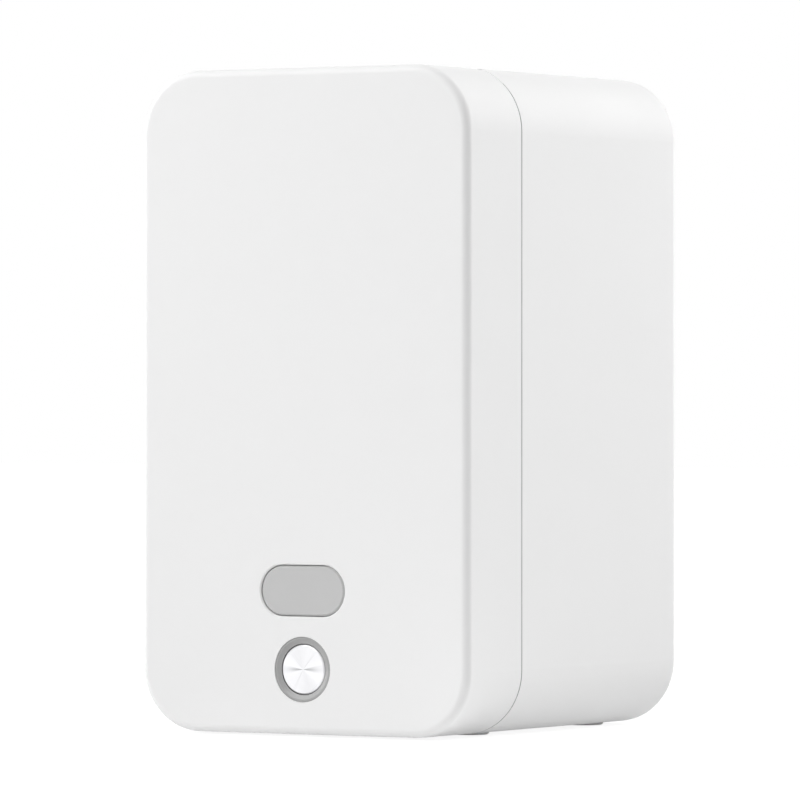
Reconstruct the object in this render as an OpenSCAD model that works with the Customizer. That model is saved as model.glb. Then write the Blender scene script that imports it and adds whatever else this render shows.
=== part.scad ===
/* [Case] */
// Width of the case across the front
body_w = 77; // [75:0.5:84]
// Depth of the case from front to back
body_d = 85; // [84:0.5:95]
// Height of the case without its feet
body_h = 133; // [132:0.5:150]
// Corner radius of the case seen from the front
corner_r = 13; // [11:0.5:14]
// Rounding of the front cover's front edge
front_edge_r = 1.6; // [1:0.1:2]
// Rounding of the rear shell's back edge
rear_edge_r = 3; // [2:0.1:4]
// Depth of the front cover, from its face to the seam
cover_d = 20.8; // [20:0.1:22]
// Gap between the front cover and the rear shell
seam_gap = 0.3; // [0.2:0.05:0.5]
// Wall of the case
wall = 2.2; // [1.8:0.1:2.4]
// Height of the rubber feet below the case
foot_proud = 0.5; // [0.3:0.1:1]
// Diameter of a rubber foot
foot_d = 8; // [6:0.5:10]

/* [Front cover] */
// Length of the release button's pill
pill_w = 19.5; // [17:0.5:21]
// Height of the release button's pill
pill_h = 10; // [9:0.5:11]
// Height of the release button's centre above the case's underside
pill_up = 28.7; // [28:0.1:30]
// Travel of the release button
release_travel = 2.5; // [2.2:0.1:2.6]
// Outer diameter of the light ring
ring_d = 13; // [12:0.5:13.5]
// Diameter of the power button
power_d = 9.95; // [9:0.05:10]
// Height of the power button's centre above the case's underside
power_up = 13; // [12.5:0.1:13.5]
// Travel of the power button
power_travel = 0.5; // [0.3:0.1:0.6]
// Thickness of the cover's inner panel
liner_t = 1.6; // [1.4:0.1:1.8]

/* [Hinge] */
// Depth of the hinge axis below the top of the case, and radius of the shell's rounded edge
hinge_drop = 3.4; // [3.2:0.1:3.6]
// Width of the slot that the label leaves by, from the seam to the tear bar
label_slot = 4; // [3.6:0.1:4.4]
// Diameter of a hinge pin
hinge_pin_d = 2; // [1.6:0.1:2]
// Outer diameter of a hinge ear on the cover
hinge_ear_d = 4; // [3.6:0.1:4.2]

/* [Platen and print head] */
// Room beside the label, on each side, for the side plates and the gears
side_room = 13.5; // [13:0.1:14]
// Diameter of the rubber platen
platen_d = 10; // [9:0.5:10.5]
// Diameter of the platen's shaft
platen_shaft_d = 4; // [3:0.5:4.5]
// Outer diameter of a platen bushing
bushing_d = 7; // [6:0.5:7.5]
// Drop of the platen's axis below the hinge axis
platen_drop = 12.6; // [12.2:0.1:13.5]
// Gap between the platen and the print head with no label in it
nip_gap = 0.15; // [0.1:0.05:0.3]
// Backward swing of the print head on its springs, in degrees
head_swing = 2.5; // [1:0.5:3]
// Diameter of the print head's pivot pin
pivot_pin_d = 2; // [1.6:0.1:2.4]

/* [Gears] */
// Module of every gear
gear_m = 0.5; // [0.48:0.01:0.52]
// Teeth on the platen gear
platen_teeth = 24; // [24:1:24]
// Teeth on the compound gear's small wheel
compound_small_teeth = 16; // [16:1:16]
// Teeth on the compound gear's big wheel
compound_big_teeth = 26; // [26:1:26]
// Teeth on the idler gear
idler_teeth = 24; // [24:1:24]
// Teeth on the motor pinion
motor_teeth = 12; // [12:1:12]
// Thickness of each gear
gear_t = 2; // [1.6:0.1:2]
// Diameter of the motor
motor_d = 15; // [12:0.5:15]
// Length of the motor's can
motor_len = 12; // [10:0.5:16]

/* [Roll bin] */
// Radius of the bin that holds the label roll
bin_r = 30; // [29:0.25:30.5]
// Wall of the bin's trough and of its side plates
bin_wall = 1.6; // [1.2:0.1:1.8]
// Diameter of a roll guide's disc
guide_d = 42; // [36:1:44]
// Travel of each roll guide towards the middle
guide_travel = 15; // [10:0.5:16]
// Diameter of a roll hub, which a roll's core turns on
hub_d = 11.8; // [10:0.2:12]
// Teeth on the pinion between the guides' racks
guide_teeth = 12; // [12:1:12]

/* [Power and boards] */
// Height of the battery
battery_h = 36; // [30:1:38]
// Thickness of the battery
battery_t = 8.4; // [6:0.2:9]
// Thickness of a circuit board
board_t = 1.2; // [0.8:0.1:1.6]
// Height of the charging port's centre above the case's underside
port_up = 79; // [76:0.5:90]

/* [Hidden] */
$fn = 64;

shell_white = "#f0f0f0";
button_grey = "#c6c6c6";
ring_grey = "#9c9c9c";
inner_white = "#e4e4e2";
dark_plastic = "#3a3c40";
steel = "#b8bcc0";
spring_steel = "#90949a";
rubber_black = "#26282a";
board_green = "#1f6b45";
gear_white = "#ece8dc";

// Clearances
run_gap = 0.05;      // round a pin or shaft that turns
seat_gap = 0.02;     // round a pin or screw that doesn't turn
fit_gap = 0.15;      // round a button in its hole
part_gap = 0.3;      // between pieces that move past each other
cut = 0.01;          // how far a cutting solid runs past a face
gear_play = 0.1;     // taken off each tooth's thickness

// Case
front_wall = wall + 0.2;
y_front = -body_d / 2;
y_rear = body_d / 2;
z_bottom = foot_proud;
z_top = z_bottom + body_h;
z_mid = (z_bottom + z_top) / 2;
seam_y = y_front + cover_d;
cover_back = seam_y - seam_gap / 2;
shell_front = seam_y + seam_gap / 2;
corner_x = body_w / 2 - corner_r;
inner_front = y_front + front_wall;
foot_x = body_w / 2 - 16.5;
foot_front = shell_front + foot_d / 2 + 3;
foot_rear = y_rear - foot_d / 2 - 7;
foot_seat = 0.8;

// Widths across the printer, each counted from the middle, from the label outwards
label_x = body_w / 2 - side_room;
rubber_x = label_x + 0.5;
head_x = label_x + 0.4;
arm_x0 = rubber_x + 0.5;
arm_t = 1.4;
arm_x1 = arm_x0 + arm_t;
plate_x0 = arm_x1 + part_gap;
plate_t = 1;
plate_x1 = plate_x0 + plate_t;
flange_t = 0.4;
bush_x1 = plate_x1 + 0.1 + flange_t;
gear_x0 = bush_x1 + 0.2;
gear_x1 = gear_x0 + gear_t;
gear2_x0 = gear_x1 + 0.4;
gear2_x1 = gear2_x0 + gear_t;
stud_x1 = gear2_x1 + 0.6;
bin_x0 = label_x + 3;
bin_x1 = bin_x0 + bin_wall;

// Hinge: its axis lies as far behind the shell's front as it lies below the top
hinge_y = shell_front + hinge_drop;
hinge_z = z_top - hinge_drop;
ear_r = hinge_ear_d / 2;
ear_x0 = label_x + 0.7;
ear_x1 = ear_x0 + 2;
post_x0 = ear_x1 + 0.2;
post_x1 = post_x0 + 2;
post_r = ear_r - 0.1;
pin_x0 = ear_x0 + 0.3;
pin_x1 = post_x1 - 0.2;
pocket_d = hinge_ear_d + part_gap;
slot_x = ear_x1 + 0.2;

// Bezel of the inner frame, just behind the seam
bezel_y = seam_y + 0.3;
bezel_t = 1.5;
bezel_back = bezel_y + bezel_t;

// Cover's inner panel
liner_front = seam_y - 3.3;
liner_back = liner_front + liner_t;
liner_gap = 0.2;

// Platen and the gears behind it
platen_y = seam_y + 1.5;
platen_z = hinge_z - platen_drop;
head_y = platen_y + platen_d / 2 + nip_gap;
platen_r = gear_m * platen_teeth / 2;
compound_small_r = gear_m * compound_small_teeth / 2;
compound_big_r = gear_m * compound_big_teeth / 2;
idler_r = gear_m * idler_teeth / 2;
motor_r = gear_m * motor_teeth / 2;
drive_lean = -81;
compound_y = platen_y + platen_r + compound_small_r;
compound_z = platen_z;
idler_y = compound_y + (compound_big_r + idler_r) * cos(drive_lean);
idler_z = compound_z + (compound_big_r + idler_r) * sin(drive_lean);
motor_y = idler_y + (idler_r + motor_r) * cos(drive_lean);
motor_z = idler_z + (idler_r + motor_r) * sin(drive_lean);
stud_d = 2;
web_deep = 0.6;
motor_shaft_d = 1.5;

// Turn of each gear at rest, so that its teeth sit in its neighbour's gaps
compound_small_turn = mesh_turn(0, platen_teeth, compound_small_teeth, 0);
compound_big_turn = drive_lean;
idler_turn = mesh_turn(compound_big_turn, compound_big_teeth, idler_teeth, drive_lean);
motor_turn = mesh_turn(idler_turn, idler_teeth, motor_teeth, drive_lean);

// Motor's flange, its ears and the two screws through them
motor_flange_t = 0.8;
motor_ear = 3.6;
motor_ear_r = 2.4;
motor_screw_y = motor_d / 2 + motor_ear - motor_ear_r;
motor_screw_d = 1.6;
motor_end_d = 5;

// Print head
ceramic_t = 0.8;
ceramic_up = 4;
ceramic_down = 9;
bracket_t = 2;
bracket_y = head_y + ceramic_t;
bracket_back = bracket_y + bracket_t;
pivot_y = bracket_back + 0.4;
pivot_z = platen_z - 11.5;
pivot_ear_r = 2.2;
pivot_ear_x = head_x - 3.4;
head_spring_len = 5.3;
cross_y = bracket_back + head_spring_len + (platen_z - pivot_z) * sin(head_swing);
cross_t = 1;
chip_t = 0.8;
fin_count = 5;
fin_step = 2.4;
fin_t = 0.8;
fin_w = 7;
fin_deep = 2;
head_spring_x = head_x - 13.4;
head_spring_z = platen_z - 1;
head_spring_r = 2;

// Roll bin
bin_y = y_rear - wall - 0.5 - bin_wall - bin_r;
bin_z = z_bottom + wall + 0.5 + bin_wall + bin_r;
trough_end = 430;
shelf_z = bin_z + bin_r + 3;
shelf_t = 1.6;
shelf_top = shelf_z + shelf_t;
bin_wall_z = z_bottom + wall + 1.2;
label_wall_y = bracket_back + 1;
label_wall_t = 1.4;
label_wall_skirt = 7;
slide_rib = 0.5;
bin_wall_back = y_rear - wall - 0.4;

// Roll guides, their racks and the pinion between them
guide_r = guide_d / 2;
guide_t = 1.2;
guide_x0 = label_x + 0.2;
guide_x1 = guide_x0 + guide_t;
guide_pin_d = 5;
hub_len = 5;
hub_x0 = guide_x0 - 0.1 - hub_len;
guide_pinion_r = gear_m * guide_teeth / 2;
rack_back = 1.05 * gear_m;
rack_bar = 1.7;
rack_t = 2.2;
tray_z = z_bottom + wall + 0.8;
tray_t = 1.2;
rack_z = tray_z + tray_t + 0.2;
guide_pinion_y = y_rear - 9.1;
rack_front = guide_pinion_y - guide_pinion_r - rack_back - rack_bar;
rack_rear = guide_pinion_y + guide_pinion_r + rack_back + rack_bar;
foot_half = 1.6;
guide_stub_d = 2.4;

// Release: hooks on a slide in the cover, and the wire that they catch
pill_z = z_bottom + pill_up;
power_z = z_bottom + power_up;
wire_d = 1.2;
wire_y = seam_y + 3.1;
wire_z = z_bottom + 9;
// The trough starts just behind the wire
trough_gap = 3.3;
trough_reach = (bin_y - wire_y - trough_gap) / (bin_r + bin_wall);
trough_start = 180 + acos(min(0.99, trough_reach));
hook_x = bin_x0 - 4;
hook_w = 3;
hook_t = 2;
slide_front = liner_front - 3;
slide_t = 1.2;
slide_back = slide_front + slide_t;
slide_top = pill_z + pill_h / 2 + 3;
slide_bar = 7;
peg_d = 3;
leg_x0 = 6;
leg_x1 = 8.5;
pill_front = y_front + 0.15;
pill_back = inner_front + 1.3;
latch_spring_x = 15;
latch_spring_len = 9;
latch_spring_r = 1.7;
open_spring_r = 2.3;

// Chamfers on the buttons and on the rims of their holes
rim = 0.25;
button_edge = 0.35;

// Power button, its board and switch
ring_hole_gap = 0.05;
power_board_y = inner_front + 7.6;
switch_w = 3.6;
switch_t = 1.9;
plunger_d = 1.6;
power_flange_t = 1;
ring_slope = 0.5;

// Boards and battery
board_back = y_rear - 8.15;
board_front = board_back - board_t;
board_x = body_w / 2 - 10.5;
board_z0 = shelf_top + 3;
port_z = z_bottom + port_up;
board_z1 = z_top - 13;
port_w = 8.94;
port_h = 3.26;
port_len = 7.35;
board_post_x = board_x - 3;
board_post_z = 3;
battery_w = 2 * label_x;
battery_back = board_front - 2.6;
battery_z = shelf_top + 0.2;

// Cover screws, rear screws and mechanism screws
cover_screw_x = body_w / 2 - 7.5;
cover_screw_low = z_bottom + 22;
cover_screw_high = z_top - 33;
rear_screw_x = bin_x1 + 2.6;
rear_screw_low = z_bottom + 24;
rear_screw_high = z_bottom + 60;
boss_r = 2.6;
rib_t = 1.2;
collar_gap = 1.2;
collar_t = 1;
bay_gap = 0.3;
bay_t = 1.2;
screw_d = 2;
screw_head_d = 3.8;
foot_tab_x = 5.5;

// Mechanism's frame, and the flared mouths of the slots that the platen's bushings drop into
frame_y0 = platen_y - 2.6;
frame_y1 = motor_y + motor_d / 2 + 5;
frame_top = platen_z + 7;
frame_foot = motor_z - motor_d / 2;
slot_play = 0.1;
mouth = 10;
mouth_flare = 0.5;
cable_clear = 5.4;
label_wall_top = frame_foot - cable_clear;

// ---- Gear shapes ----
function involute_turn(base_r, r) =
    let (a = acos(min(1, base_r / r))) tan(a) * 180 / PI - a;
function mesh_turn(turn1, teeth1, teeth2, direction) =
    direction + 180 + 180 / teeth2 + (direction - turn1) * teeth1 / teeth2;

module gear_outline(teeth) {
    pitch_r = gear_m * teeth / 2;
    base_r = pitch_r * cos(20);
    root_r = pitch_r - 1.05 * gear_m;
    tip_r = pitch_r + 0.8 * gear_m;
    half_at_pitch = 90 / teeth - gear_play / 2 / pitch_r * 180 / PI;
    flank = [for (i = [0:4]) base_r + (tip_r - base_r) * i / 4];
    function half_at(r) = half_at_pitch + involute_turn(base_r, pitch_r) - involute_turn(base_r, r);
    points = [for (i = [0:teeth - 1])
        let (middle = i * 360 / teeth)
        each concat(
            [[root_r, middle - half_at(base_r)]],
            [for (r = flank) [r, middle - half_at(r)]],
            [for (k = [4:-1:0]) [flank[k], middle + half_at(flank[k])]],
            [[root_r, middle + half_at(base_r)]])];
    polygon([for (p = points) p[0] * [cos(p[1]), sin(p[1])]]);
}

// A rack whose teeth point along +Y from the pitch line y = 0, with a gap at each whole pitch
module rack_outline(x0, x1, bar) {
    pitch = PI * gear_m;
    half = pitch / 4 - gear_play / 2;
    tip = 0.8 * gear_m;
    root = 1.05 * gear_m;
    lean = tan(20);
    first = ceil((x0 + pitch / 2) / pitch - 0.5);
    last = floor((x1 - pitch / 2) / pitch - 0.5);
    teeth = [for (i = [first:last])
        let (x = (i + 0.5) * pitch)
        each [[x - half - root * lean, -root], [x - half + tip * lean, tip],
              [x + half - tip * lean, tip], [x + half + root * lean, -root]]];
    polygon(concat([[x0, -root - bar], [x0, -root]], teeth, [[x1, -root], [x1, -root - bar]]));
}

// ---- Shapes that several pieces share ----

// Everything that has a left and a right copy
module both_sides() {
    children();
    mirror([1, 0, 0]) children();
}

// A profile drawn in (Y, Z), made solid from x0 to x1
module across(x0, x1) {
    translate([x0, 0, 0]) rotate([90, 0, 90]) linear_extrude(x1 - x0) children();
}

// A profile drawn in (X, Z), made solid from y0 to y1
module through(y0, y1) {
    translate([0, y1, 0]) rotate([90, 0, 0]) linear_extrude(y1 - y0) children();
}

module rod_x(d, x0, x1, y, z) {
    translate([x0, y, z]) rotate([0, 90, 0]) cylinder(d = d, h = x1 - x0);
}

module rod_y(d, y0, y1, x, z) {
    translate([x, y1, z]) rotate([90, 0, 0]) cylinder(d = d, h = y1 - y0);
}

module block(x0, x1, y0, y1, z0, z1) {
    translate([x0, y0, z0]) cube([x1 - x0, y1 - y0, z1 - z0]);
}

// Rectangle with round corners, centred
module rounded(w, h, r) {
    square([w - 2 * r, h], center = true);
    if (h > 2 * r) square([w, h - 2 * r], center = true);
    for (x = [-1, 1]) for (y = [-1, 1]) translate([x * (w / 2 - r), y * (h / 2 - r)]) circle(r);
}

module pill(w, h) {
    square([w - h, h], center = true);
    for (x = [-1, 1]) translate([x * (w - h) / 2, 0]) circle(d = h);
}

// Cylinder along Y whose end at y0 is narrowed to d0 over a length
module cone_y(d0, d1, y0, y1, x, z) {
    translate([x, y1, z]) rotate([90, 0, 0]) cylinder(d1 = d1, d2 = d0, h = y1 - y0);
}

// Pill whose outline grows by 2 * grow from y0 to y1
module pill_taper(w, h, grow, y0, y1) {
    for (x = [-1, 1]) cone_y(h, h + 2 * grow, y0, y1, x * (w - h) / 2, 0);
    across(-(w - h) / 2, (w - h) / 2)
        polygon([[y0, -h / 2], [y1, -h / 2 - grow], [y1, h / 2 + grow], [y0, h / 2]]);
}

// Outline of the case drawn inwards by a distance
module case_outline(inset) {
    translate([0, z_mid]) rounded(body_w - 2 * inset, body_h - 2 * inset, corner_r - inset);
}

// Section through the case's edge: straight sides and one round edge at y = 0
module edge_section(depth, edge_r) {
    square([corner_r - edge_r, depth]);
    translate([0, edge_r]) square([corner_r, depth - edge_r]);
    translate([corner_r - edge_r, edge_r]) circle(edge_r);
}

// Block with the case's outline, its round edge at z = 0
module edged_block(depth, edge_r) {
    cx = corner_x;
    cy = body_h / 2 - corner_r;
    translate([-cx, -cy, 0]) cube([2 * cx, 2 * cy, depth]);
    for (side = [0, 180]) rotate(side) {
        translate([cx, cy, 0]) rotate([90, 0, 0]) linear_extrude(2 * cy) edge_section(depth, edge_r);
        translate([cx, cy, 0]) rotate_extrude(angle = 90) edge_section(depth, edge_r);
        rotate(90) translate([cy, cx, 0]) {
            rotate([90, 0, 0]) linear_extrude(2 * cx) edge_section(depth, edge_r);
            rotate_extrude(angle = 90) edge_section(depth, edge_r);
        }
    }
}

// Coil spring that stands on z = 0
module coil(r, wire, length, turns) {
    steps = 12;
    sides = 6;
    count = turns * steps;
    rise = (length - wire) / count;
    points = [for (i = [0:count]) for (k = [0:sides - 1])
        let (turn = 360 * i / steps, ring = 360 * k / sides,
             out = r - wire / 2 + wire / 2 * cos(ring))
        [out * cos(turn), out * sin(turn), wire / 2 + rise * i + wire / 2 * sin(ring)]];
    skin = [for (i = [0:count - 1]) for (k = [0:sides - 1])
        let (a = i * sides + k, b = i * sides + (k + 1) % sides)
        [a, b, b + sides, a + sides]];
    start = [for (k = [sides - 1:-1:0]) k];
    end = [for (k = [0:sides - 1]) count * sides + k];
    polyhedron(points, concat(skin, [start], [end]), convexity = 10);
}

// ---- Front cover and what is fixed in it ----

module cover_bosses(d) {
    for (z = [cover_screw_low, cover_screw_high]) for (x = [-1, 1])
        rod_y(d, inner_front - cut, liner_front, x * cover_screw_x, z);
}

module front_cover() color(shell_white) difference() {
    union() {
        difference() {
            translate([0, y_front, z_mid]) rotate([-90, 0, 0])
                edged_block(cover_back - y_front, front_edge_r);
            through(inner_front, seam_y) case_outline(wall);
        }
        cover_bosses(2 * boss_r);
        // Ribs that tie the bosses to the side walls
        for (z = [cover_screw_low, cover_screw_high]) both_sides()
            block(cover_screw_x, body_w / 2 - wall + cut, inner_front - cut, liner_front - 4,
                  z - rib_t / 2, z + rib_t / 2);
        // Collar that guides the release button
        through(inner_front - cut, inner_front + 5) translate([0, pill_z]) difference() {
            pill(pill_w + 2 * (collar_gap + collar_t), pill_h + 2 * (collar_gap + collar_t));
            pill(pill_w + 2 * collar_gap, pill_h + 2 * collar_gap);
        }
        // Posts that carry the button board
        for (x = [-1, 1]) rod_y(3.6, inner_front - cut, power_board_y, x * 10.5, power_z);
    }
    // The two buttons' holes, their rims chamfered
    translate([0, 0, pill_z]) {
        through(y_front - cut, inner_front + cut) pill(pill_w + 2 * fit_gap, pill_h + 2 * fit_gap);
        pill_taper(pill_w + 2 * fit_gap + 2 * rim, pill_h + 2 * fit_gap + 2 * rim, -rim,
                   y_front - cut, y_front + rim);
    }
    rod_y(ring_d + 2 * ring_hole_gap, y_front - cut, inner_front + cut, 0, power_z);
    for (z = [cover_screw_low, cover_screw_high]) for (x = [-1, 1])
        rod_y(screw_d + 2 * seat_gap, liner_front - 8, liner_front + cut, x * cover_screw_x, z);
}

module liner_outline() {
    case_outline(wall + liner_gap);
}

module cover_liner() color(inner_white) difference() {
    union() {
        difference() {
            through(liner_front, liner_back) liner_outline();
            // Windows for the two hooks
            both_sides() block(hook_x - hook_w / 2 - 0.4, hook_x + hook_w / 2 + 0.4,
                               liner_front - cut, liner_back + cut,
                               wire_z - 1.6, wire_z + 8);
            // Windows for the tips of the release button's legs
            both_sides() block(leg_x0 - 0.3, leg_x1 + 0.3, liner_front - cut, liner_back + cut,
                               wedge_z - 3, wedge_z + 1);
            // Hollow in front of the platen
            block(-arm_x0, arm_x0, liner_front - cut, liner_back + cut,
                  platen_z - platen_d / 2 - 1, platen_z + platen_d / 2 + 1);
            // Room for the platen's gear, and for its bushing on the other side
            block(-gear_x1 - 0.8, -arm_x1, liner_front - cut, liner_back + cut,
                  platen_z - platen_r - 1, platen_z + platen_r + 1);
            block(arm_x1, bush_x1 + 0.8, liner_front - cut, liner_back + cut,
                  platen_z - bushing_d / 2 - 1.6, platen_z + bushing_d / 2 + 1.6);
        }
        both_sides() {
            // Arms that hold the platen's bushings
            across(arm_x0, arm_x1) {
                translate([platen_y, platen_z]) circle(bushing_d / 2 + 1.4);
                translate([liner_front, platen_z - bushing_d / 2 - 1.4])
                    square([platen_y - liner_front, bushing_d + 2.8]);
            }
            // Arms that end in the hinge ears
            across(ear_x0, ear_x1) {
                translate([hinge_y, hinge_z]) circle(ear_r);
                polygon([[liner_front, hinge_z - 2.5 * ear_r], [liner_back, hinge_z - 2.5 * ear_r],
                         [hinge_y, hinge_z - ear_r], [hinge_y, hinge_z + ear_r / 2],
                         [liner_back, hinge_z + ear_r / 8], [liner_front, hinge_z + ear_r / 8]]);
            }
        }
        // Tray that backs the platen, open towards it
        across(-arm_x0, arm_x0) difference() {
            translate([platen_y, platen_z]) circle(platen_d / 2 + 2);
            translate([platen_y, platen_z]) circle(platen_d / 2 + 0.8);
            translate([liner_back - 0.4, platen_z - platen_d]) square([2 * platen_d, 2 * platen_d]);
        }
        // Pegs that the slide runs on, and the ledge over its springs
        both_sides() {
            rod_y(peg_d, slide_front - 0.4, liner_front + cut, hook_x - 3.5, slide_top - slide_bar / 2);
            block(latch_spring_x - 3, latch_spring_x + 3, slide_front, liner_front + cut,
                  slide_top + latch_spring_len, slide_top + latch_spring_len + 1.4);
        }
        // Seat of the release button's spring
        rod_y(2.6, liner_front - 3, liner_front + cut, 0, pill_z);
        // Ribs that stiffen the panel
        for (i = [-1:1]) translate([i * 0.72 * label_x, 0, 0])
            block(-rib_t / 2, rib_t / 2, liner_front - 2, liner_front + cut,
                  slide_top + 16, platen_z - platen_d / 2 - 4);
    }
    both_sides() {
        rod_x(bushing_d + 2 * seat_gap, arm_x0 - cut, arm_x1 + cut, platen_y, platen_z);
        rod_x(hinge_pin_d + 2 * run_gap, ear_x0 - cut, ear_x1 + cut, hinge_y, hinge_z);
        for (z = [cover_screw_low, cover_screw_high])
            rod_y(screw_d + 2 * seat_gap, liner_front - cut, liner_back + cut, cover_screw_x, z);
    }
}

// Pan head screw that points along -Y, its head resting on y
module screw_y(x, y, z, length) {
    rod_y(screw_d, y - length, y, x, z);
    difference() {
        rod_y(screw_head_d, y, y + 1, x, z);
        for (a = [0, 90]) translate([x, y + 1, z]) rotate([0, a, 0]) cube([2.2, 1.2, 0.5], center = true);
    }
}

module cover_screws() color(steel)
    for (z = [cover_screw_low, cover_screw_high]) for (x = [-1, 1])
        screw_y(x * cover_screw_x, liner_back, z, 7);

module light_ring() color(ring_grey) difference() {
    union() {
        rod_y(ring_d, y_front + 0.1, inner_front + 2.6, 0, power_z);
        rod_y(ring_d + 2, inner_front + 0.05, inner_front + 1.2, 0, power_z);
    }
    rod_y(power_d + 2 * fit_gap, y_front, inner_front + 3, 0, power_z);
    // Face that slopes in towards the button
    cone_y(ring_d - 0.4, power_d, y_front, y_front + ring_slope, 0, power_z);
}

module button_board() color(board_green) difference() {
    translate([0, 0, power_z]) union() {
        through(power_board_y, power_board_y + board_t) rounded(26, 13, 1.5);
        // Indicator lamps under the ring
        for (x = [-5.6, 5.6]) block(x - 0.8, x + 0.8, power_board_y - 0.6, power_board_y, -0.5, 0.5);
        block(-4, 4, power_board_y + board_t, power_board_y + board_t + 1.4, -5.4, -2.4);
    }
    rod_y(plunger_d + 2 * run_gap, power_board_y - cut, power_board_y + board_t + cut, 0, power_z);
}

module power_switch() color(dark_plastic) difference() {
    block(-switch_w / 2, switch_w / 2, power_board_y - switch_t, power_board_y,
          power_z - switch_w / 2, power_z + switch_w / 2);
    rod_y(plunger_d + 2 * run_gap, power_board_y - switch_t - cut, power_board_y + cut, 0, power_z);
}

// Faces of the power button, from front to back
power_front = y_front + 0.3;
power_back = inner_front + 2.6 + fit_gap + power_flange_t;

module power_button() color("#f4f4f4") {
    cone_y(power_d - 2 * rim, power_d, power_front, power_front + rim, 0, power_z);
    rod_y(power_d, power_front + rim, power_back - power_flange_t, 0, power_z);
    rod_y(power_d + 1.6, power_back - power_flange_t, power_back, 0, power_z);
}

module switch_plunger() color("#2c2c2e")
    rod_y(plunger_d, power_back, power_board_y - switch_t + power_travel + 0.5, 0, power_z);

// ---- Release ----

// Height at which the sloping end of the button's leg meets the slide
wedge_z = pill_z - 1.5;

module open_button() color(button_grey) {
    translate([0, 0, pill_z]) {
        pill_taper(pill_w - 2 * button_edge, pill_h - 2 * button_edge, button_edge,
                   pill_front, pill_front + button_edge);
        through(pill_front + button_edge, pill_back) pill(pill_w, pill_h);
        through(inner_front + 0.1, pill_back) pill(pill_w + 2, pill_h + 2);
    }
    // Two legs with sloping ends
    both_sides() across(leg_x0, leg_x1) polygon([
        [pill_back - cut, wedge_z - 2.6], [slide_back, wedge_z - 2.6], [slide_back, wedge_z - 0.2],
        [slide_back - 4, wedge_z + 3.8], [pill_back - cut, wedge_z + 3.8]]);
}

module open_button_spring() color(spring_steel)
    translate([0, pill_back, pill_z]) rotate([-90, 0, 0])
        coil(open_spring_r, 0.5, liner_front - pill_back, 7);

module latch_slider() color(inner_white) {
    difference() {
        union() {
            block(-hook_x - hook_w / 2, hook_x + hook_w / 2, slide_front, slide_back,
                  slide_top - slide_bar, slide_top);
            both_sides() {
                // Side strips down to the hooks
                block(hook_x - hook_w / 2 - 1.5, hook_x + hook_w / 2, slide_front, slide_back,
                      wire_z + 1.2, slide_top - slide_bar + cut);
                // Followers that rest on the wedges
                across(leg_x0 - 0.6, leg_x1 + 0.6) polygon([
                    [slide_front - 2.4, wedge_z + 2.4 + slide_t + 0.3 + 0.2],
                    [slide_back, wedge_z + 0.3],
                    [slide_back, slide_top], [slide_front - 2.4, slide_top]]);
                // Hooks
                across(hook_x - hook_w / 2, hook_x + hook_w / 2) polygon([
                    [slide_back - cut, wire_z + 1.2], [wire_y + 0.75, wire_z + 1.2],
                    [wire_y + 0.75, wire_z - 0.8], [wire_y + 1, wire_z - 0.8],
                    [wire_y + 2, wire_z + 0.8], [wire_y + 2, wire_z + 1.2 + hook_t],
                    [slide_back - cut, wire_z + 1.2 + hook_t]]);
            }
        }
        // Room for the release button's spring
        block(-open_spring_r - 0.5, open_spring_r + 0.5, slide_front - cut, slide_back + cut,
              slide_top - slide_bar - cut, pill_z + open_spring_r + 0.5);
        // Slots for the pegs
        both_sides() through(slide_front - cut, slide_back + cut)
            translate([hook_x - 3.5, slide_top - slide_bar / 2 - release_travel / 2]) rotate(90)
                pill(peg_d + 2 * fit_gap + release_travel, peg_d + 2 * fit_gap);
    }
}

module latch_springs() color(spring_steel) both_sides()
    translate([latch_spring_x, (slide_front + slide_back) / 2, slide_top])
        coil(latch_spring_r, 0.45, latch_spring_len, 5);

// ---- Platen ----

module platen_roller() color(rubber_black) difference() {
    rod_x(platen_d, -rubber_x, rubber_x, platen_y, platen_z);
    rod_x(platen_shaft_d, -rubber_x - cut, rubber_x + cut, platen_y, platen_z);
}

module platen_shaft() color(steel) difference() {
    rod_x(platen_shaft_d, -gear_x1 - 0.4, bush_x1 + 0.4, platen_y, platen_z);
    // Flat that drives the gear
    block(-gear_x1 - 1, -gear_x0, platen_y - platen_shaft_d, platen_y + platen_shaft_d,
          platen_z + platen_shaft_d / 2 - 0.5, platen_z + platen_shaft_d);
}

module platen_bushings() color(gear_white) both_sides() difference() {
    union() {
        rod_x(bushing_d, arm_x0 + 0.05, plate_x1 + 0.1, platen_y, platen_z);
        rod_x(bushing_d + 1.6, plate_x1 + 0.1, bush_x1, platen_y, platen_z);
    }
    rod_x(platen_shaft_d + 2 * run_gap, arm_x0, bush_x1 + cut, platen_y, platen_z);
}

// A gear that turns about a line along X
module wheel(teeth, turn, x0, x1, y, z) {
    translate([x0, y, z]) rotate([90, 0, 90]) rotate(turn) linear_extrude(x1 - x0) gear_outline(teeth);
}

module platen_gear() color(gear_white) difference() {
    wheel(platen_teeth, 0, -gear_x1, -gear_x0, platen_y, platen_z);
    difference() {
        rod_x(platen_shaft_d + 2 * seat_gap, -gear_x1 - cut, -gear_x0 + cut, platen_y, platen_z);
        block(-gear_x1 - 1, -gear_x0 + 1, platen_y - platen_shaft_d, platen_y + platen_shaft_d,
              platen_z + platen_shaft_d / 2 - 0.5 + seat_gap, platen_z + platen_shaft_d);
    }
}

// ---- Rear shell ----

module feet_at() for (x = [-1, 1]) for (y = [foot_front, foot_rear])
    translate([x * foot_x, y, 0]) children();

module rear_screws_at() for (x = [-1, 1]) for (z = [rear_screw_low, rear_screw_high])
    translate([x * rear_screw_x, y_rear, z]) rotate([90, 0, 0]) children();

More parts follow.
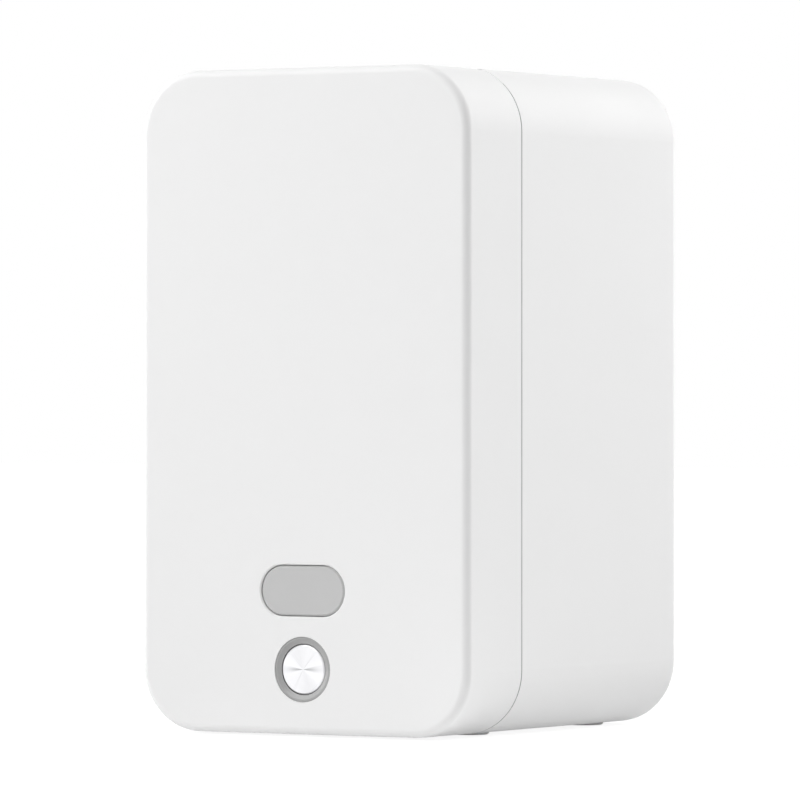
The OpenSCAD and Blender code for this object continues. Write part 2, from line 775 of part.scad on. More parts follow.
module rear_shell() color(shell_white) difference() {
    translate([0, y_rear, z_mid]) rotate([90, 0, 0]) edged_block(y_rear - shell_front, rear_edge_r);
    through(shell_front - 1, y_rear - wall) case_outline(wall);
    // Front edge of the top, rounded about the hinge so that the cover's back can swing past it
    across(-body_w / 2, body_w / 2) difference() {
        translate([shell_front - 1, hinge_z]) square([hinge_drop + 1, hinge_drop + 1]);
        translate([hinge_y, hinge_z]) circle(hinge_drop);
    }
    // Slot that the label leaves by, and that the hinge arms swing through
    block(-slot_x, slot_x, shell_front - 1, tear_y + tear_t + 0.05, z_top - 2 * wall, z_top + 1);
    // Pockets over the hinge ears and their posts
    both_sides() rod_x(pocket_d, ear_x0 - 0.2, post_x1 + 0.2, hinge_y, hinge_z);
    // Hole for the charging port
    through(y_rear - wall - 1, y_rear + 1) translate([0, port_z]) pill(port_w + 0.6, port_h + 0.6);
    rear_screws_at() {
        translate([0, 0, -cut]) cylinder(d = screw_head_d + 0.6, h = 1.1);
        cylinder(d = screw_d + 2 * seat_gap, h = wall + 1);
    }
    feet_at() translate([0, 0, z_bottom - cut]) cylinder(d = foot_d + 2 * seat_gap, h = foot_seat + cut);
}

module rubber_feet() color("#b4b4b4") feet_at() {
    cylinder(d = foot_d - 0.6, h = 0.3);
    translate([0, 0, 0.2]) cylinder(d = foot_d, h = z_bottom + foot_seat - 0.2);
}

module rear_screws() color(steel) rear_screws_at() difference() {
    union() {
        translate([0, 0, 0.15]) cylinder(d = screw_head_d, h = 0.95 - 0.02);
        translate([0, 0, 1]) cylinder(d = screw_d, h = 7);
    }
    for (a = [0, 90]) rotate(a) cube([2.2, 0.5, 1.4], center = true);
}

// ---- Inner frame ----

module trough(wall_x) {
    translate([-wall_x, bin_y, bin_z]) rotate([90, 0, 90]) rotate(trough_start)
        rotate_extrude(angle = trough_end - trough_start) translate([bin_r, 0])
            square([bin_wall, 2 * wall_x]);
}

// Wedge of the bin's section between two angles, used to cut slots in the trough
module trough_wedge(from, to) {
    reach = 1.5 * bin_r;
    translate([bin_y, bin_z]) polygon([[0, 0], reach * [cos(from), sin(from)], reach * [cos(to), sin(to)]]);
}

module bezel() difference() {
    through(bezel_y, bezel_back) intersection() {
        case_outline(wall + 0.15);
        translate([-body_w, z_bottom]) square([2 * body_w, hinge_z - post_r - z_bottom + 1.4]);
    }
    // Way for the roll, the platen and the label
    block(-bin_x0 + 0.1, bin_x0 - 0.1, bezel_y - cut, bezel_back + cut, z_bottom + 6.5, z_top);
    // Room for the mechanism's side plates and the platen's ends
    block(-gear_x1 - 0.4, bush_x1 + 0.8, bezel_y - cut, bezel_back + cut,
          shelf_top + 8, platen_z + platen_r + 2);
    block(-post_x0 + 0.1, post_x0 - 0.1, bezel_y - cut, bezel_back + cut, platen_z, z_top);
}

module inner_frame() color(inner_white) difference() {
    union() {
        bezel();
        intersection() {
            union() {
                both_sides() {
                    // Side plates of the roll bin
                    block(bin_x0, bin_x1, bezel_back - cut, bin_wall_back, bin_wall_z, shelf_top);
                    // Bosses for the rear screws
                    for (z = [rear_screw_low, rear_screw_high]) {
                        rod_y(2 * boss_r, y_rear - wall - 14, y_rear - wall - 0.1, rear_screw_x, z);
                        block(bin_x1 - cut, rear_screw_x, y_rear - wall - 14, y_rear - wall - 0.1,
                              z - rib_t / 2, z + rib_t / 2);
                    }
                }
                trough(bin_x0 + cut);
                // Shelf over the bin
                block(-bin_x1, bin_x1, label_wall_y, bin_wall_back, shelf_z, shelf_top);
                // Tray for the racks
                across(-bin_x0 - cut, bin_x0 + cut) {
                    translate([rack_front - 1.2, tray_z]) square([rack_rear - rack_front + 2.4, tray_t]);
                    for (y = [rack_front - 1.2, rack_rear + 0.2])
                        translate([y, tray_z]) square([1, rack_z + rack_t - tray_z]);
                }
            }
            through(bezel_y, y_rear) case_outline(wall + 0.1);
        }
        // Stub that the guides' pinion turns on
        translate([0, guide_pinion_y, tray_z + tray_t - cut]) cylinder(d = guide_stub_d, h = rack_t + 0.5);
        // Posts that carry the hinge pins
        both_sides() across(post_x0, post_x1) {
            translate([hinge_y, hinge_z]) circle(post_r);
            translate([bezel_y, hinge_z - post_r - 1]) square([hinge_y - bezel_y, post_r + 1]);
        }
        // Smooth wall that the label slides up
        block(-bin_x0 - cut, bin_x0 + cut, label_wall_y, label_wall_y + label_wall_t,
              shelf_z - label_wall_skirt, label_wall_top);
        // Its slide ribs
        for (i = [1:3]) both_sides()
            across(i * label_x / 4 - slide_rib, i * label_x / 4 + slide_rib) polygon([
                [label_wall_y + cut, shelf_z - label_wall_skirt],
                [label_wall_y - slide_rib, shelf_z - label_wall_skirt + 2 * slide_rib],
                [label_wall_y - slide_rib, label_wall_top - 2 * slide_rib],
                [label_wall_y + cut, label_wall_top]]);
        // Battery bay
        difference() {
            block(-battery_w / 2 - bay_gap - bay_t, battery_w / 2 + bay_gap + bay_t,
                  battery_back - battery_t - bay_gap - bay_t, battery_back + bay_gap,
                  shelf_top - cut, battery_z + battery_h * 0.6);
            block(-battery_w / 2 - bay_gap, battery_w / 2 + bay_gap, battery_back - battery_t - bay_gap,
                  battery_back + 1, shelf_top - 1, z_top);
            block(-battery_w / 2 + 8, battery_w / 2 - 8, battery_back - battery_t - 2,
                  battery_back + 1, shelf_top + 6, z_top);
        }
    }
    // Slots that the guides' arms run in
    both_sides() across(guide_x0 - guide_travel - 0.6, bin_x0 - cut) trough_wedge(-54, -33);
    // Holes for the screws, the keeper wire and the hinge pins
    both_sides() {
        for (z = [rear_screw_low, rear_screw_high])
            rod_y(screw_d + 2 * seat_gap, y_rear - wall - 9, y_rear - wall, rear_screw_x, z);
        rod_x(wire_d + 2 * seat_gap, bin_x0 - cut, bin_x1 + cut, wire_y, wire_z);
        rod_x(hinge_pin_d + 2 * seat_gap, post_x0 - cut, pin_x1 + 0.05, hinge_y, hinge_z);
    }
    for (p = frame_screw_places) translate([p[0], p[1], shelf_z - cut])
        cylinder(d = screw_d + 2 * seat_gap, h = shelf_t + 2 * cut);
}

module hinge_pins() color(steel) both_sides()
    rod_x(hinge_pin_d, pin_x0, pin_x1, hinge_y, hinge_z);

module keeper_wire() color(steel)
    rod_x(wire_d, -bin_x1 - 0.6, bin_x1 + 0.6, wire_y, wire_z);

// ---- Print mechanism ----

leg_y = bracket_back + 3;
frame_screw_places = [for (x = [-1, 1]) for (y = [leg_y + 3, frame_y1 - 3])
    [x * (plate_x0 - foot_tab_x / 2), y]];

module side_plate_outline() difference() {
    union() {
        translate([frame_y0, frame_foot]) square([frame_y1 - frame_y0, frame_top - frame_foot]);
        translate([leg_y, shelf_top]) square([frame_y1 - leg_y, frame_foot - shelf_top + 1]);
    }
    // Slot that the platen's bushing drops into, flared upwards along the way it comes
    translate([platen_y, platen_z]) {
        circle(bushing_d / 2 + slot_play);
        polygon([[0, -bushing_d / 2 - slot_play], [-mouth, -bushing_d / 2 - slot_play],
                 [-mouth, bushing_d / 2 + slot_play + mouth * mouth_flare],
                 [0, bushing_d / 2 + slot_play]]);
    }
    // Corners cut back
    translate([frame_y1, frame_top]) rotate(45) square([12, 12], center = true);
    translate([frame_y0, frame_foot]) rotate(45) square([8, 8], center = true);
}

module mechanism_frame() color(steel) difference() {
    union() {
        both_sides() {
            across(plate_x0, plate_x1) side_plate_outline();
            // Tabs that stand on the shelf
            block(plate_x0 - foot_tab_x, plate_x0 + cut, leg_y, frame_y1, shelf_top, shelf_top + plate_t);
        }
        block(-plate_x0 - cut, plate_x0 + cut, cross_y, cross_y + cross_t, platen_z - 7, platen_z + 6);
        block(-plate_x0 - cut, plate_x0 + cut, frame_y1 - cross_t, frame_y1, motor_z - 4, motor_z + 8);
    }
    both_sides() rod_x(pivot_pin_d + 2 * seat_gap, plate_x0 - cut, plate_x1 + cut, pivot_y, pivot_z);
    rod_x(stud_d + 2 * seat_gap, -plate_x1 - cut, -plate_x0 + cut, compound_y, compound_z);
    rod_x(stud_d + 2 * seat_gap, -plate_x1 - cut, -plate_x0 + cut, idler_y, idler_z);
    rod_x(motor_shaft_d + 1, -plate_x1 - cut, -plate_x0 + cut, motor_y, motor_z);
    for (y = [-1, 1]) rod_x(motor_screw_d + 2 * seat_gap, -plate_x1 - cut, -plate_x0 + cut,
                            motor_y + y * motor_screw_y, motor_z);
    for (p = frame_screw_places) translate([p[0], p[1], shelf_top - cut])
        cylinder(d = screw_d + 2 * seat_gap, h = plate_t + 2 * cut);
    // Windows that lighten the cross plate
    for (x = [-1, 1]) rod_y(5, cross_y - cut, cross_y + cross_t + cut, x * 0.8 * label_x, platen_z);
}

module print_head() color("#efe6d2") {
    block(-head_x, head_x, head_y, bracket_y, platen_z - ceramic_down, platen_z + ceramic_up);
    // Resin bar over the driver chips, below the platen
    across(-head_x + 3, head_x - 3) polygon([
        [head_y + cut, platen_z - ceramic_down + 0.4], [head_y - chip_t, platen_z - ceramic_down + 0.8],
        [head_y - chip_t, platen_z - ceramic_down + 2.4], [head_y + cut, platen_z - ceramic_down + 2.9]]);
}

module head_bracket() color("#c9ccd0") difference() {
    union() {
        block(-head_x, head_x, bracket_y, bracket_back, platen_z - 13, platen_z + ceramic_up + 1);
        // Fins that shed the head's heat
        both_sides() for (i = [0:fin_count - 1]) translate([0, 0, head_spring_z + (i - 2) * fin_step])
            block(head_x - 1 - fin_w, head_x - 1, bracket_back - cut, bracket_back + fin_deep,
                  -fin_t / 2, fin_t / 2);
        both_sides() across(pivot_ear_x, pivot_ear_x + 2) {
            translate([pivot_y, pivot_z]) circle(pivot_ear_r);
            translate([bracket_back - cut, pivot_z - pivot_ear_r])
                square([pivot_y - bracket_back, 2 * pivot_ear_r]);
        }
    }
    rod_x(pivot_pin_d + 2 * run_gap, -head_x - cut, head_x + cut, pivot_y, pivot_z);
}

module head_pivot_pin() color(steel)
    rod_x(pivot_pin_d, -plate_x1 - 0.3, plate_x1 + 0.3, pivot_y, pivot_z);

module head_springs() color(spring_steel) both_sides()
    translate([head_spring_x, bracket_back, head_spring_z]) rotate([-90, 0, 0])
        coil(head_spring_r, 0.5, cross_y - bracket_back, 4);

module motor() color("#8d9095") {
    rod_x(motor_d, -plate_x0, -plate_x0 + motor_len, motor_y, motor_z);
    rod_x(motor_d - 2, -plate_x0 + motor_len - cut, -plate_x0 + motor_len + 0.6, motor_y, motor_z);
    rod_x(motor_end_d, -plate_x0 + motor_len, -plate_x0 + motor_len + 1.6, motor_y, motor_z);
    // Flange with an ear on each side
    across(-plate_x0, -plate_x0 + motor_flange_t) translate([motor_y, motor_z]) difference() {
        pill(motor_d + 2 * motor_ear, 2 * motor_ear_r);
        for (y = [-1, 1]) translate([y * motor_screw_y, 0]) circle(d = motor_screw_d + 2 * seat_gap);
    }
    // Terminal block that the coils' wires are soldered to
    block(-plate_x0 + motor_len - 5, -plate_x0 + motor_len - 1, motor_y - 4, motor_y + 4,
          motor_z - motor_d / 2 - 1.6, motor_z - motor_d / 2 + 1.5);
}

module motor_pinion() color("#b99b5a") {
    rod_x(motor_shaft_d, -gear2_x1 - 0.3, -plate_x0 - 0.05, motor_y, motor_z);
    wheel(motor_teeth, motor_turn, -gear2_x1, -gear2_x0, motor_y, motor_z);
}

// Ring-shaped recess that thins a gear's web between its hub and its rim
module web_recess(r, x0, x1, y, z) difference() {
    rod_x(2 * r, x0, x1, y, z);
    rod_x(stud_d + 2.4, x0 - cut, x1 + cut, y, z);
}

module idler_gear() color(gear_white) difference() {
    wheel(idler_teeth, idler_turn, -gear2_x1, -gear2_x0, idler_y, idler_z);
    rod_x(stud_d + 2 * run_gap, -gear2_x1 - cut, -gear2_x0 + cut, idler_y, idler_z);
    web_recess(idler_r - 1.6, -gear2_x1 - cut, -gear2_x1 + web_deep, idler_y, idler_z);
}

module compound_gear() color(gear_white) difference() {
    union() {
        wheel(compound_small_teeth, compound_small_turn, -gear2_x0 - cut, -gear_x0, compound_y, compound_z);
        wheel(compound_big_teeth, compound_big_turn, -gear2_x1, -gear2_x0, compound_y, compound_z);
    }
    rod_x(stud_d + 2 * run_gap, -gear2_x1 - cut, -gear_x0 + cut, compound_y, compound_z);
    web_recess(compound_big_r - 1.6, -gear2_x1 - cut, -gear2_x1 + web_deep, compound_y, compound_z);
}

module gear_studs() color(steel)
for (p = [[compound_y, compound_z, gear_x0], [idler_y, idler_z, gear2_x0]]) {
    rod_x(stud_d, -stud_x1, -plate_x0 - 0.2, p[0], p[1]);
    rod_x(stud_d + 1.2, -stud_x1, -gear2_x1 - 0.1, p[0], p[1]);
    rod_x(stud_d + 1.2, -p[2] + 0.1, -plate_x1, p[0], p[1]);
}

// Serrated blade with a flange under the top wall
tear_y = seam_y + label_slot;
tear_t = 0.6;
tear_pitch = 1.5;
tear_depth = 0.8;
tear_teeth = floor(2 * label_x / tear_pitch);

module tear_bar() color(steel) {
    tip_z = z_top - 0.2;
    half = tear_teeth * tear_pitch / 2;
    through(tear_y, tear_y + tear_t) polygon(concat(
        [[-half, hinge_z - 0.2], [-half, tip_z - tear_depth]],
        [for (i = [0:tear_teeth - 1]) each [
            [-half + (i + 0.5) * tear_pitch, tip_z],
            [-half + (i + 1) * tear_pitch, tip_z - tear_depth]]],
        [[half, hinge_z - 0.2]]));
    block(-half, half, tear_y + tear_t - cut, tear_y + 7, z_top - wall - 0.65, z_top - wall - 0.05);
}

// ---- Roll guides ----

module guide_disc() difference() {
    union() {
        across(guide_x0, guide_x1) {
            translate([bin_y, bin_z]) circle(guide_r);
            polygon([
                [guide_pinion_y - foot_half, rack_z], [guide_pinion_y + foot_half, rack_z],
                [guide_pinion_y + foot_half, rack_z + 7.5],
                [bin_y + (guide_r - 1) * cos(36), bin_z - (guide_r - 1) * sin(36)],
                [bin_y + (guide_r - 1) * cos(48), bin_z - (guide_r - 1) * sin(48)],
                [guide_pinion_y - foot_half, rack_z + 7.5]]);
        }
        rod_x(guide_pin_d, hub_x0 + 1, guide_x0 + cut, bin_y, bin_z);
    }
    // Round windows that lighten the disc
    for (a = [30:60:330]) rod_x(guide_r / 2.6, guide_x0 - cut, guide_x1 + cut,
                               bin_y + guide_r * 0.66 * cos(a), bin_z + guide_r * 0.66 * sin(a));
}

module guide_rack() {
    length = guide_x1 + 2;
    translate([0, guide_pinion_y - guide_pinion_r, rack_z]) linear_extrude(rack_t)
        rack_outline(-guide_x1, -guide_x1 + length, rack_bar);
    block(-guide_x1, -guide_x0, rack_front, guide_pinion_y + foot_half, rack_z, rack_z + rack_t);
}

module guide_left() color("#d4d6d8") {
    mirror([1, 0, 0]) guide_disc();
    guide_rack();
}

module guide_right() color("#d4d6d8") {
    guide_disc();
    translate([0, 2 * guide_pinion_y, 0]) rotate([0, 0, 180]) guide_rack();
}

module hub() difference() {
    union() {
        rod_x(hub_d, hub_x0 + 0.8, guide_x0 - 0.1, bin_y, bin_z);
        rod_x(hub_d - 1.6, hub_x0, hub_x0 + 1, bin_y, bin_z);
    }
    rod_x(guide_pin_d + 2 * run_gap, hub_x0 + 0.9, guide_x0, bin_y, bin_z);
}

module hub_left() color(dark_plastic) mirror([1, 0, 0]) hub();

module hub_right() color(dark_plastic) hub();

module guide_pinion() color(gear_white) difference() {
    translate([0, guide_pinion_y, rack_z]) rotate(-90) linear_extrude(rack_t) gear_outline(guide_teeth);
    translate([0, guide_pinion_y, rack_z - cut])
        cylinder(d = guide_stub_d + 2 * run_gap, h = rack_t + 2 * cut);
}

// ---- Battery and boards ----

module battery() color("#30506e") translate([0, 0, battery_z + battery_h / 2])
    through(battery_back - battery_t, battery_back) rounded(battery_w, battery_h, 2);

board_posts = [for (x = [-1, 1]) for (z = [board_z0 + board_post_z, board_z1 - board_post_z])
    [x * board_post_x, z]];

module main_board() color(board_green) difference() {
    block(-board_x, board_x, board_front, board_back, board_z0, board_z1);
    for (p = board_posts) rod_y(screw_d + 2 * seat_gap, board_front - cut, board_back + cut, p[0], p[1]);
}

module board_parts() color("#202226") {
    // Controller, motor driver and charge coil: share of the half width, height over the port,
    // side and thickness of each
    for (chip = [[-0.55, 16.5, 9, 1], [0.32, 15, 6, 0.9], [0.6, -1, 6, 3]])
        translate([chip[0] * board_x, board_back, port_z + chip[1]])
            block(-chip[2] / 2, chip[2] / 2, 0, chip[3], -chip[2] / 2, chip[2] / 2);
    // Two capacitors
    for (share = [0.5, 0.64]) rod_y(3, board_back, board_back + 4, -share * board_x, port_z - 2);
    // Connector of the print head's cable
    block(-board_x / 2 + 2, board_x / 2 - 2, board_front - 2, board_front, board_z1 - 5, board_z1 - 1);
}

module charging_port() color(steel) {
    difference() {
        through(board_back, board_back + port_len) translate([0, port_z]) pill(port_w, port_h);
        through(board_back + 1, board_back + port_len + cut) translate([0, port_z])
            pill(port_w - 0.6, port_h - 0.6);
    }
    block(-3.3, 3.3, board_back + 1 - cut, board_back + port_len - 0.7, port_z - 0.35, port_z + 0.35);
}

module gap_sensor() color("#18181a") {
    block(-3, 3, label_wall_y - 1.6, label_wall_y, label_wall_top - 5, label_wall_top - 2);
}

module tag_board() color(board_green) {
    block(-bin_x1 - 1.3, -bin_x1 - 0.1, bin_y - 11, bin_y + 11, bin_z - 11, bin_z + 11);
}

// Screw that points down from the origin, with a cross recess in its head
module screw_down(d, length, head_d, head_t) difference() {
    union() {
        translate([0, 0, -length]) cylinder(d = d, h = length);
        cylinder(d = head_d, h = head_t);
    }
    for (a = [0, 90]) translate([0, 0, head_t]) rotate(a) cube([head_d * 0.58, 0.5, head_t], center = true);
}

module frame_screws() color(steel) {
    for (p = frame_screw_places) translate([p[0], p[1], shelf_top + plate_t])
        screw_down(screw_d, shelf_t + plate_t - 0.2, screw_head_d, 1.2);
    // Two that hold the motor
    for (y = [-1, 1]) translate([-plate_x1, motor_y + y * motor_screw_y, motor_z]) rotate([0, -90, 0])
        screw_down(motor_screw_d, plate_t + motor_flange_t, 3, 0.9);
}

module board_screws() color(steel) for (p = board_posts)
    mirror([0, 1, 0]) screw_y(p[0], -board_front, p[1], 5);

front_cover();
cover_liner();
cover_screws();
light_ring();
button_board();
power_switch();
power_button();
switch_plunger();
open_button();
open_button_spring();
latch_slider();
latch_springs();
platen_roller();
platen_shaft();
platen_bushings();
platen_gear();
rear_shell();
inner_frame();
hinge_pins();
keeper_wire();
mechanism_frame();
print_head();
head_bracket();
head_pivot_pin();
head_springs();
motor();
motor_pinion();
idler_gear();
compound_gear();
gear_studs();
tear_bar();
guide_left();
guide_right();
hub_left();
hub_right();
guide_pinion();
battery();
main_board();
board_parts();
charging_port();
gap_sensor();
tag_board();
rear_screws();
frame_screws();
board_screws();
rubber_feet();
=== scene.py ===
import math

import bpy
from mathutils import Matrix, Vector


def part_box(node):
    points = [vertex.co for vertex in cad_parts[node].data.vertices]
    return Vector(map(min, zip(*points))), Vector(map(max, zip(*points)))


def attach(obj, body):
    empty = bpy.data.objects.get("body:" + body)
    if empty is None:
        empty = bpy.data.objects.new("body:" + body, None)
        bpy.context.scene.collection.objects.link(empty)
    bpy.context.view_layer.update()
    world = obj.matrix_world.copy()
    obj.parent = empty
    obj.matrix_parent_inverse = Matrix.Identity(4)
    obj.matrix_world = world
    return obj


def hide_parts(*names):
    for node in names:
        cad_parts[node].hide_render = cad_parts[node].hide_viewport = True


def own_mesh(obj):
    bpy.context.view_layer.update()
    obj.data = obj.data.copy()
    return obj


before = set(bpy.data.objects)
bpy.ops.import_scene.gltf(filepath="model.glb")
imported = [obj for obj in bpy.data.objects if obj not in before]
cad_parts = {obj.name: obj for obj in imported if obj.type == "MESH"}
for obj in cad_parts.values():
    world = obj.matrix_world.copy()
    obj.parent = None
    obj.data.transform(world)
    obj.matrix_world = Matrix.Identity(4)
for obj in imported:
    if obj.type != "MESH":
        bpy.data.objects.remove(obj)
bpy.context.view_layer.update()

# ---------------------------------------------------------------------------------------------
# Camera and studio
# The printer stands on a white sweep in a tent of soft light. The big lamps stand on its left
# and behind it on the right, so the edge between the two lit faces stays a shade darker.
# ---------------------------------------------------------------------------------------------

MM = 0.001


def srgb(code):
    """A hex colour turned into the linear values that Blender's sockets take."""
    values = [int(code[i:i + 2], 16) / 255 for i in (1, 3, 5)]
    linear = [v / 12.92 if v <= 0.04045 else ((v + 0.055) / 1.055) ** 2.4 for v in values]
    return (*linear, 1.0)


def add(tree, kind, settings=None, **inputs):
    """Adds one node: settings are its properties, inputs are socket values or (node, output)."""
    node = tree.nodes.new(kind)
    for name, value in (settings or {}).items():
        setattr(node, name, value)
    for name, value in inputs.items():
        by_number = name[0] == "_" and name[1:].isdigit()
        socket = node.inputs[int(name[1:]) if by_number else name.replace("_", " ")]
        if isinstance(value, tuple) and isinstance(value[0], bpy.types.Node):
            tree.links.new(value[0].outputs[value[1]], socket)
        else:
            socket.default_value = value
    return node


def towards(azimuth, elevation):
    """The direction from the printer to a point: azimuth 0 is in front of it, 90 on its right."""
    a, e = math.radians(azimuth), math.radians(elevation)
    return Vector((math.sin(a) * math.cos(e), -math.cos(a) * math.cos(e), math.sin(e)))


middle = Vector((0, 0, 67 * MM))
view_from = towards(31.455, 0.091)
camera_data = bpy.data.cameras.new("camera")
camera_data.sensor_width = 36
camera_data.lens = 301.46
camera_data.shift_x = -0.017
camera_data.shift_y = 0.0009
camera_data.clip_end = 20
camera = bpy.data.objects.new("camera", camera_data)
camera_distance = 1.3706
camera.location = middle + view_from * camera_distance
camera.rotation_euler = (-view_from).to_track_quat("-Z", "Y").to_euler()
bpy.context.scene.collection.objects.link(camera)
bpy.context.scene.camera = camera
bpy.context.scene.view_settings.view_transform = "Standard"

# Softboxes: azimuth and elevation in degrees, power in watts
lamp_distance = 1.2
lamp_width, lamp_height = 0.9, 1.1
for name, azimuth, elevation, watts in (
        ("key_front_left", -30, 45, 9.3),
        ("fill_far_left", -75, 10, 6.1),
        ("fill_right", 112, 25, 3.0),
        ("key_rear_right", 150, 30, 7.5),
        ("overhead", 40, 80, 1.3)):
    lamp = bpy.data.lights.new(name, "AREA")
    lamp.shape = "RECTANGLE"
    lamp.size, lamp.size_y = lamp_width, lamp_height
    lamp.energy = watts
    holder = bpy.data.objects.new(name, lamp)
    holder.location = middle + towards(azimuth, elevation) * lamp_distance
    holder.rotation_euler = (-towards(azimuth, elevation)).to_track_quat("-Z", "Y").to_euler()
    bpy.context.scene.collection.objects.link(holder)

# The room lights evenly and dimly. It shows white to the camera, and nearly white in gloss
world = bpy.data.worlds.new("studio")
bpy.context.scene.world = world
world.use_nodes = True
tree = world.node_tree
tree.nodes.clear()
room_light, room_in_gloss = 0.21, 0.9
rays = add(tree, "ShaderNodeLightPath")
gloss = add(tree, "ShaderNodeMath", {"operation": "MULTIPLY"},
            _0=(rays, "Is Glossy Ray"), _1=room_in_gloss)
light = add(tree, "ShaderNodeMath", {"operation": "MAXIMUM"}, _0=(gloss, "Value"), _1=room_light)
light = add(tree, "ShaderNodeMath", {"operation": "MAXIMUM"},
            _0=(light, "Value"), _1=(rays, "Is Camera Ray"))
room = add(tree, "ShaderNodeBackground", Color=srgb("#FFFFFF"), Strength=(light, "Value"))
add(tree, "ShaderNodeOutputWorld", Surface=(room, "Background"))

# Paper sweep on a light table: the camera sees it white with a trace of shadow, evenly so where
# the lamps' light falls off. Other rays see white paper that glows under the printer, and so
# the lower edges stay light.
sweep_half = 4.0
sweep_mesh = bpy.data.meshes.new("sweep")
sweep_mesh.from_pydata([(x * sweep_half, y * sweep_half, 0)
                        for x, y in ((-1, -1), (1, -1), (1, 1), (-1, 1))], [], [(0, 1, 2, 3)])
sweep = bpy.data.objects.new("sweep", sweep_mesh)
bpy.context.scene.collection.objects.link(sweep)
sweep_paper = bpy.data.materials.new("sweep_paper")
sweep_paper.use_nodes = True
tree = sweep_paper.node_tree
tree.nodes.clear()
paper = add(tree, "ShaderNodeBsdfDiffuse", Color=srgb("#8C8C8C"))
place = add(tree, "ShaderNodeTexCoord")
away = add(tree, "ShaderNodeVectorMath", {"operation": "LENGTH"}, _0=(place, "Object"))
lift = add(tree, "ShaderNodeMapRange", {"interpolation_type": "SMOOTHSTEP"}, Value=(away, "Value"),
           From_Min=0.1, From_Max=0.9, To_Min=0.87, To_Max=1.0)
glow = add(tree, "ShaderNodeEmission", Color=srgb("#FFFFFF"), Strength=(lift, "Result"))
bright = add(tree, "ShaderNodeAddShader", _0=(paper, "BSDF"), _1=(glow, "Emission"))
white_paper = add(tree, "ShaderNodeBsdfDiffuse", Color=srgb("#F2F2F2"))
table = add(tree, "ShaderNodeMapRange", {"interpolation_type": "SMOOTHSTEP"},
            Value=(away, "Value"), From_Min=0.06, From_Max=0.2, To_Min=0.06, To_Max=0.0)
table = add(tree, "ShaderNodeEmission", Color=srgb("#FFFFFF"), Strength=(table, "Result"))
plain = add(tree, "ShaderNodeAddShader", _0=(white_paper, "BSDF"), _1=(table, "Emission"))
rays = add(tree, "ShaderNodeLightPath")
seen = add(tree, "ShaderNodeMath", {"operation": "MAXIMUM"},
           _0=(rays, "Is Camera Ray"), _1=(rays, "Is Glossy Ray"))
shown = add(tree, "ShaderNodeMixShader",
            _0=(seen, "Value"), _1=(plain, "Shader"), _2=(bright, "Shader"))
add(tree, "ShaderNodeOutputMaterial", Surface=(shown, "Shader"))
sweep_mesh.materials.append(sweep_paper)

# ---------------------------------------------------------------------------------------------
# Case: front cover and rear shell
# Two mouldings in white PC/ABS with 2 mm walls, cut along one flat seam. The mould is spark
# eroded very finely, so the faces are matt and even and only the edges catch a soft gleam.
# ---------------------------------------------------------------------------------------------


def surface(name, colour, roughness, **settings):
    """A new material: its colour, roughness and further sockets are set on the shader itself."""
    material = bpy.data.materials.new(name)
    material.use_nodes = True
    shader = material.node_tree.nodes["Principled BSDF"]
    shader.inputs["Base Color"].default_value = srgb(colour)
    shader.inputs["Roughness"].default_value = roughness
    for socket, value in settings.items():
        shader.inputs[socket.replace("_", " ")].default_value = value
    return material, material.node_tree, shader


def moulded(name, colour, second, roughness, grain=None, depth=None, **settings):
    """Moulded plastic. Gloss drifts with the flow of the melt, and the colour drifts towards the
    second one over a few centimetres. The mould's grain and its depth are in mm: a real one is
    about 0.05 mm across, drawn coarser so that it shows."""
    material, tree, shader = surface(name, colour, roughness, **settings)
    place = add(tree, "ShaderNodeTexCoord")
    if grain:
        grains = add(tree, "ShaderNodeTexNoise", Vector=(place, "Object"),
                     Scale=1 / (grain * MM), Detail=2.0, Roughness=0.6)
        bump = add(tree, "ShaderNodeBump", Height=(grains, "Fac"), Strength=0.5,
                   Distance=depth * MM)
        tree.links.new(bump.outputs["Normal"], shader.inputs["Normal"])
    flow = add(tree, "ShaderNodeTexNoise", Vector=(place, "Object"), Scale=1 / (22 * MM),
               Detail=3.0)
    gloss = add(tree, "ShaderNodeMapRange", Value=(flow, "Fac"), From_Min=0.3, From_Max=0.7,
                To_Min=roughness - 0.04, To_Max=roughness + 0.04)
    tree.links.new(gloss.outputs["Result"], shader.inputs["Roughness"])
    tint = add(tree, "ShaderNodeMix", {"data_type": "RGBA"}, _0=(flow, "Fac"),
               _6=srgb(colour), _7=srgb(second))
    tree.links.new(tint.outputs[2], shader.inputs["Base Color"])
    return material, tree, shader


def dress(material, *names):
    """Gives CAD nodes their material, in every slot they have."""
    for name in names:
        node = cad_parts[name]
        if not node.material_slots:
            node.data.materials.append(material)
        for place in node.material_slots:
            place.link = "OBJECT"
            place.material = material


white_pc_abs, tree, shader = moulded("white_pc_abs_eroded", "#F1F1F1", "#F0F0F0", 0.48, 0.4, 0.012,
                                     IOR=1.5)
# Painted shade: the faces that meet at the seam are a shade greyer, for the shadow in the gap
place = add(tree, "ShaderNodeTexCoord")
at = add(tree, "ShaderNodeSeparateXYZ", _0=(place, "Object"))
cover_rim, shell_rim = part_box("front_cover")[1][1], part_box("rear_shell")[0][1]
from_seam = add(tree, "ShaderNodeMath", {"operation": "SUBTRACT"},
                _0=(at, "Y"), _1=(cover_rim + shell_rim) / 2)
from_seam = add(tree, "ShaderNodeMath", {"operation": "ABSOLUTE"}, _0=(from_seam, "Value"))
seam_shade_mask = add(tree, "ShaderNodeMath", {"operation": "LESS_THAN"},
             _0=(from_seam, "Value"), _1=(shell_rim - cover_rim) / 2 + 0.01 * MM)
even = shader.inputs["Base Color"].links[0].from_socket
# Painted shade: the seam's faces are mixed towards grey
seam_shaded = add(tree, "ShaderNodeMix", {"data_type": "RGBA"},
             _0=(seam_shade_mask, "Value"), _7=srgb("#CDCDCD"))
tree.links.new(even, seam_shaded.inputs[6])
tree.links.new(seam_shaded.outputs[2], shader.inputs["Base Color"])
dress(white_pc_abs, "front_cover", "rear_shell")

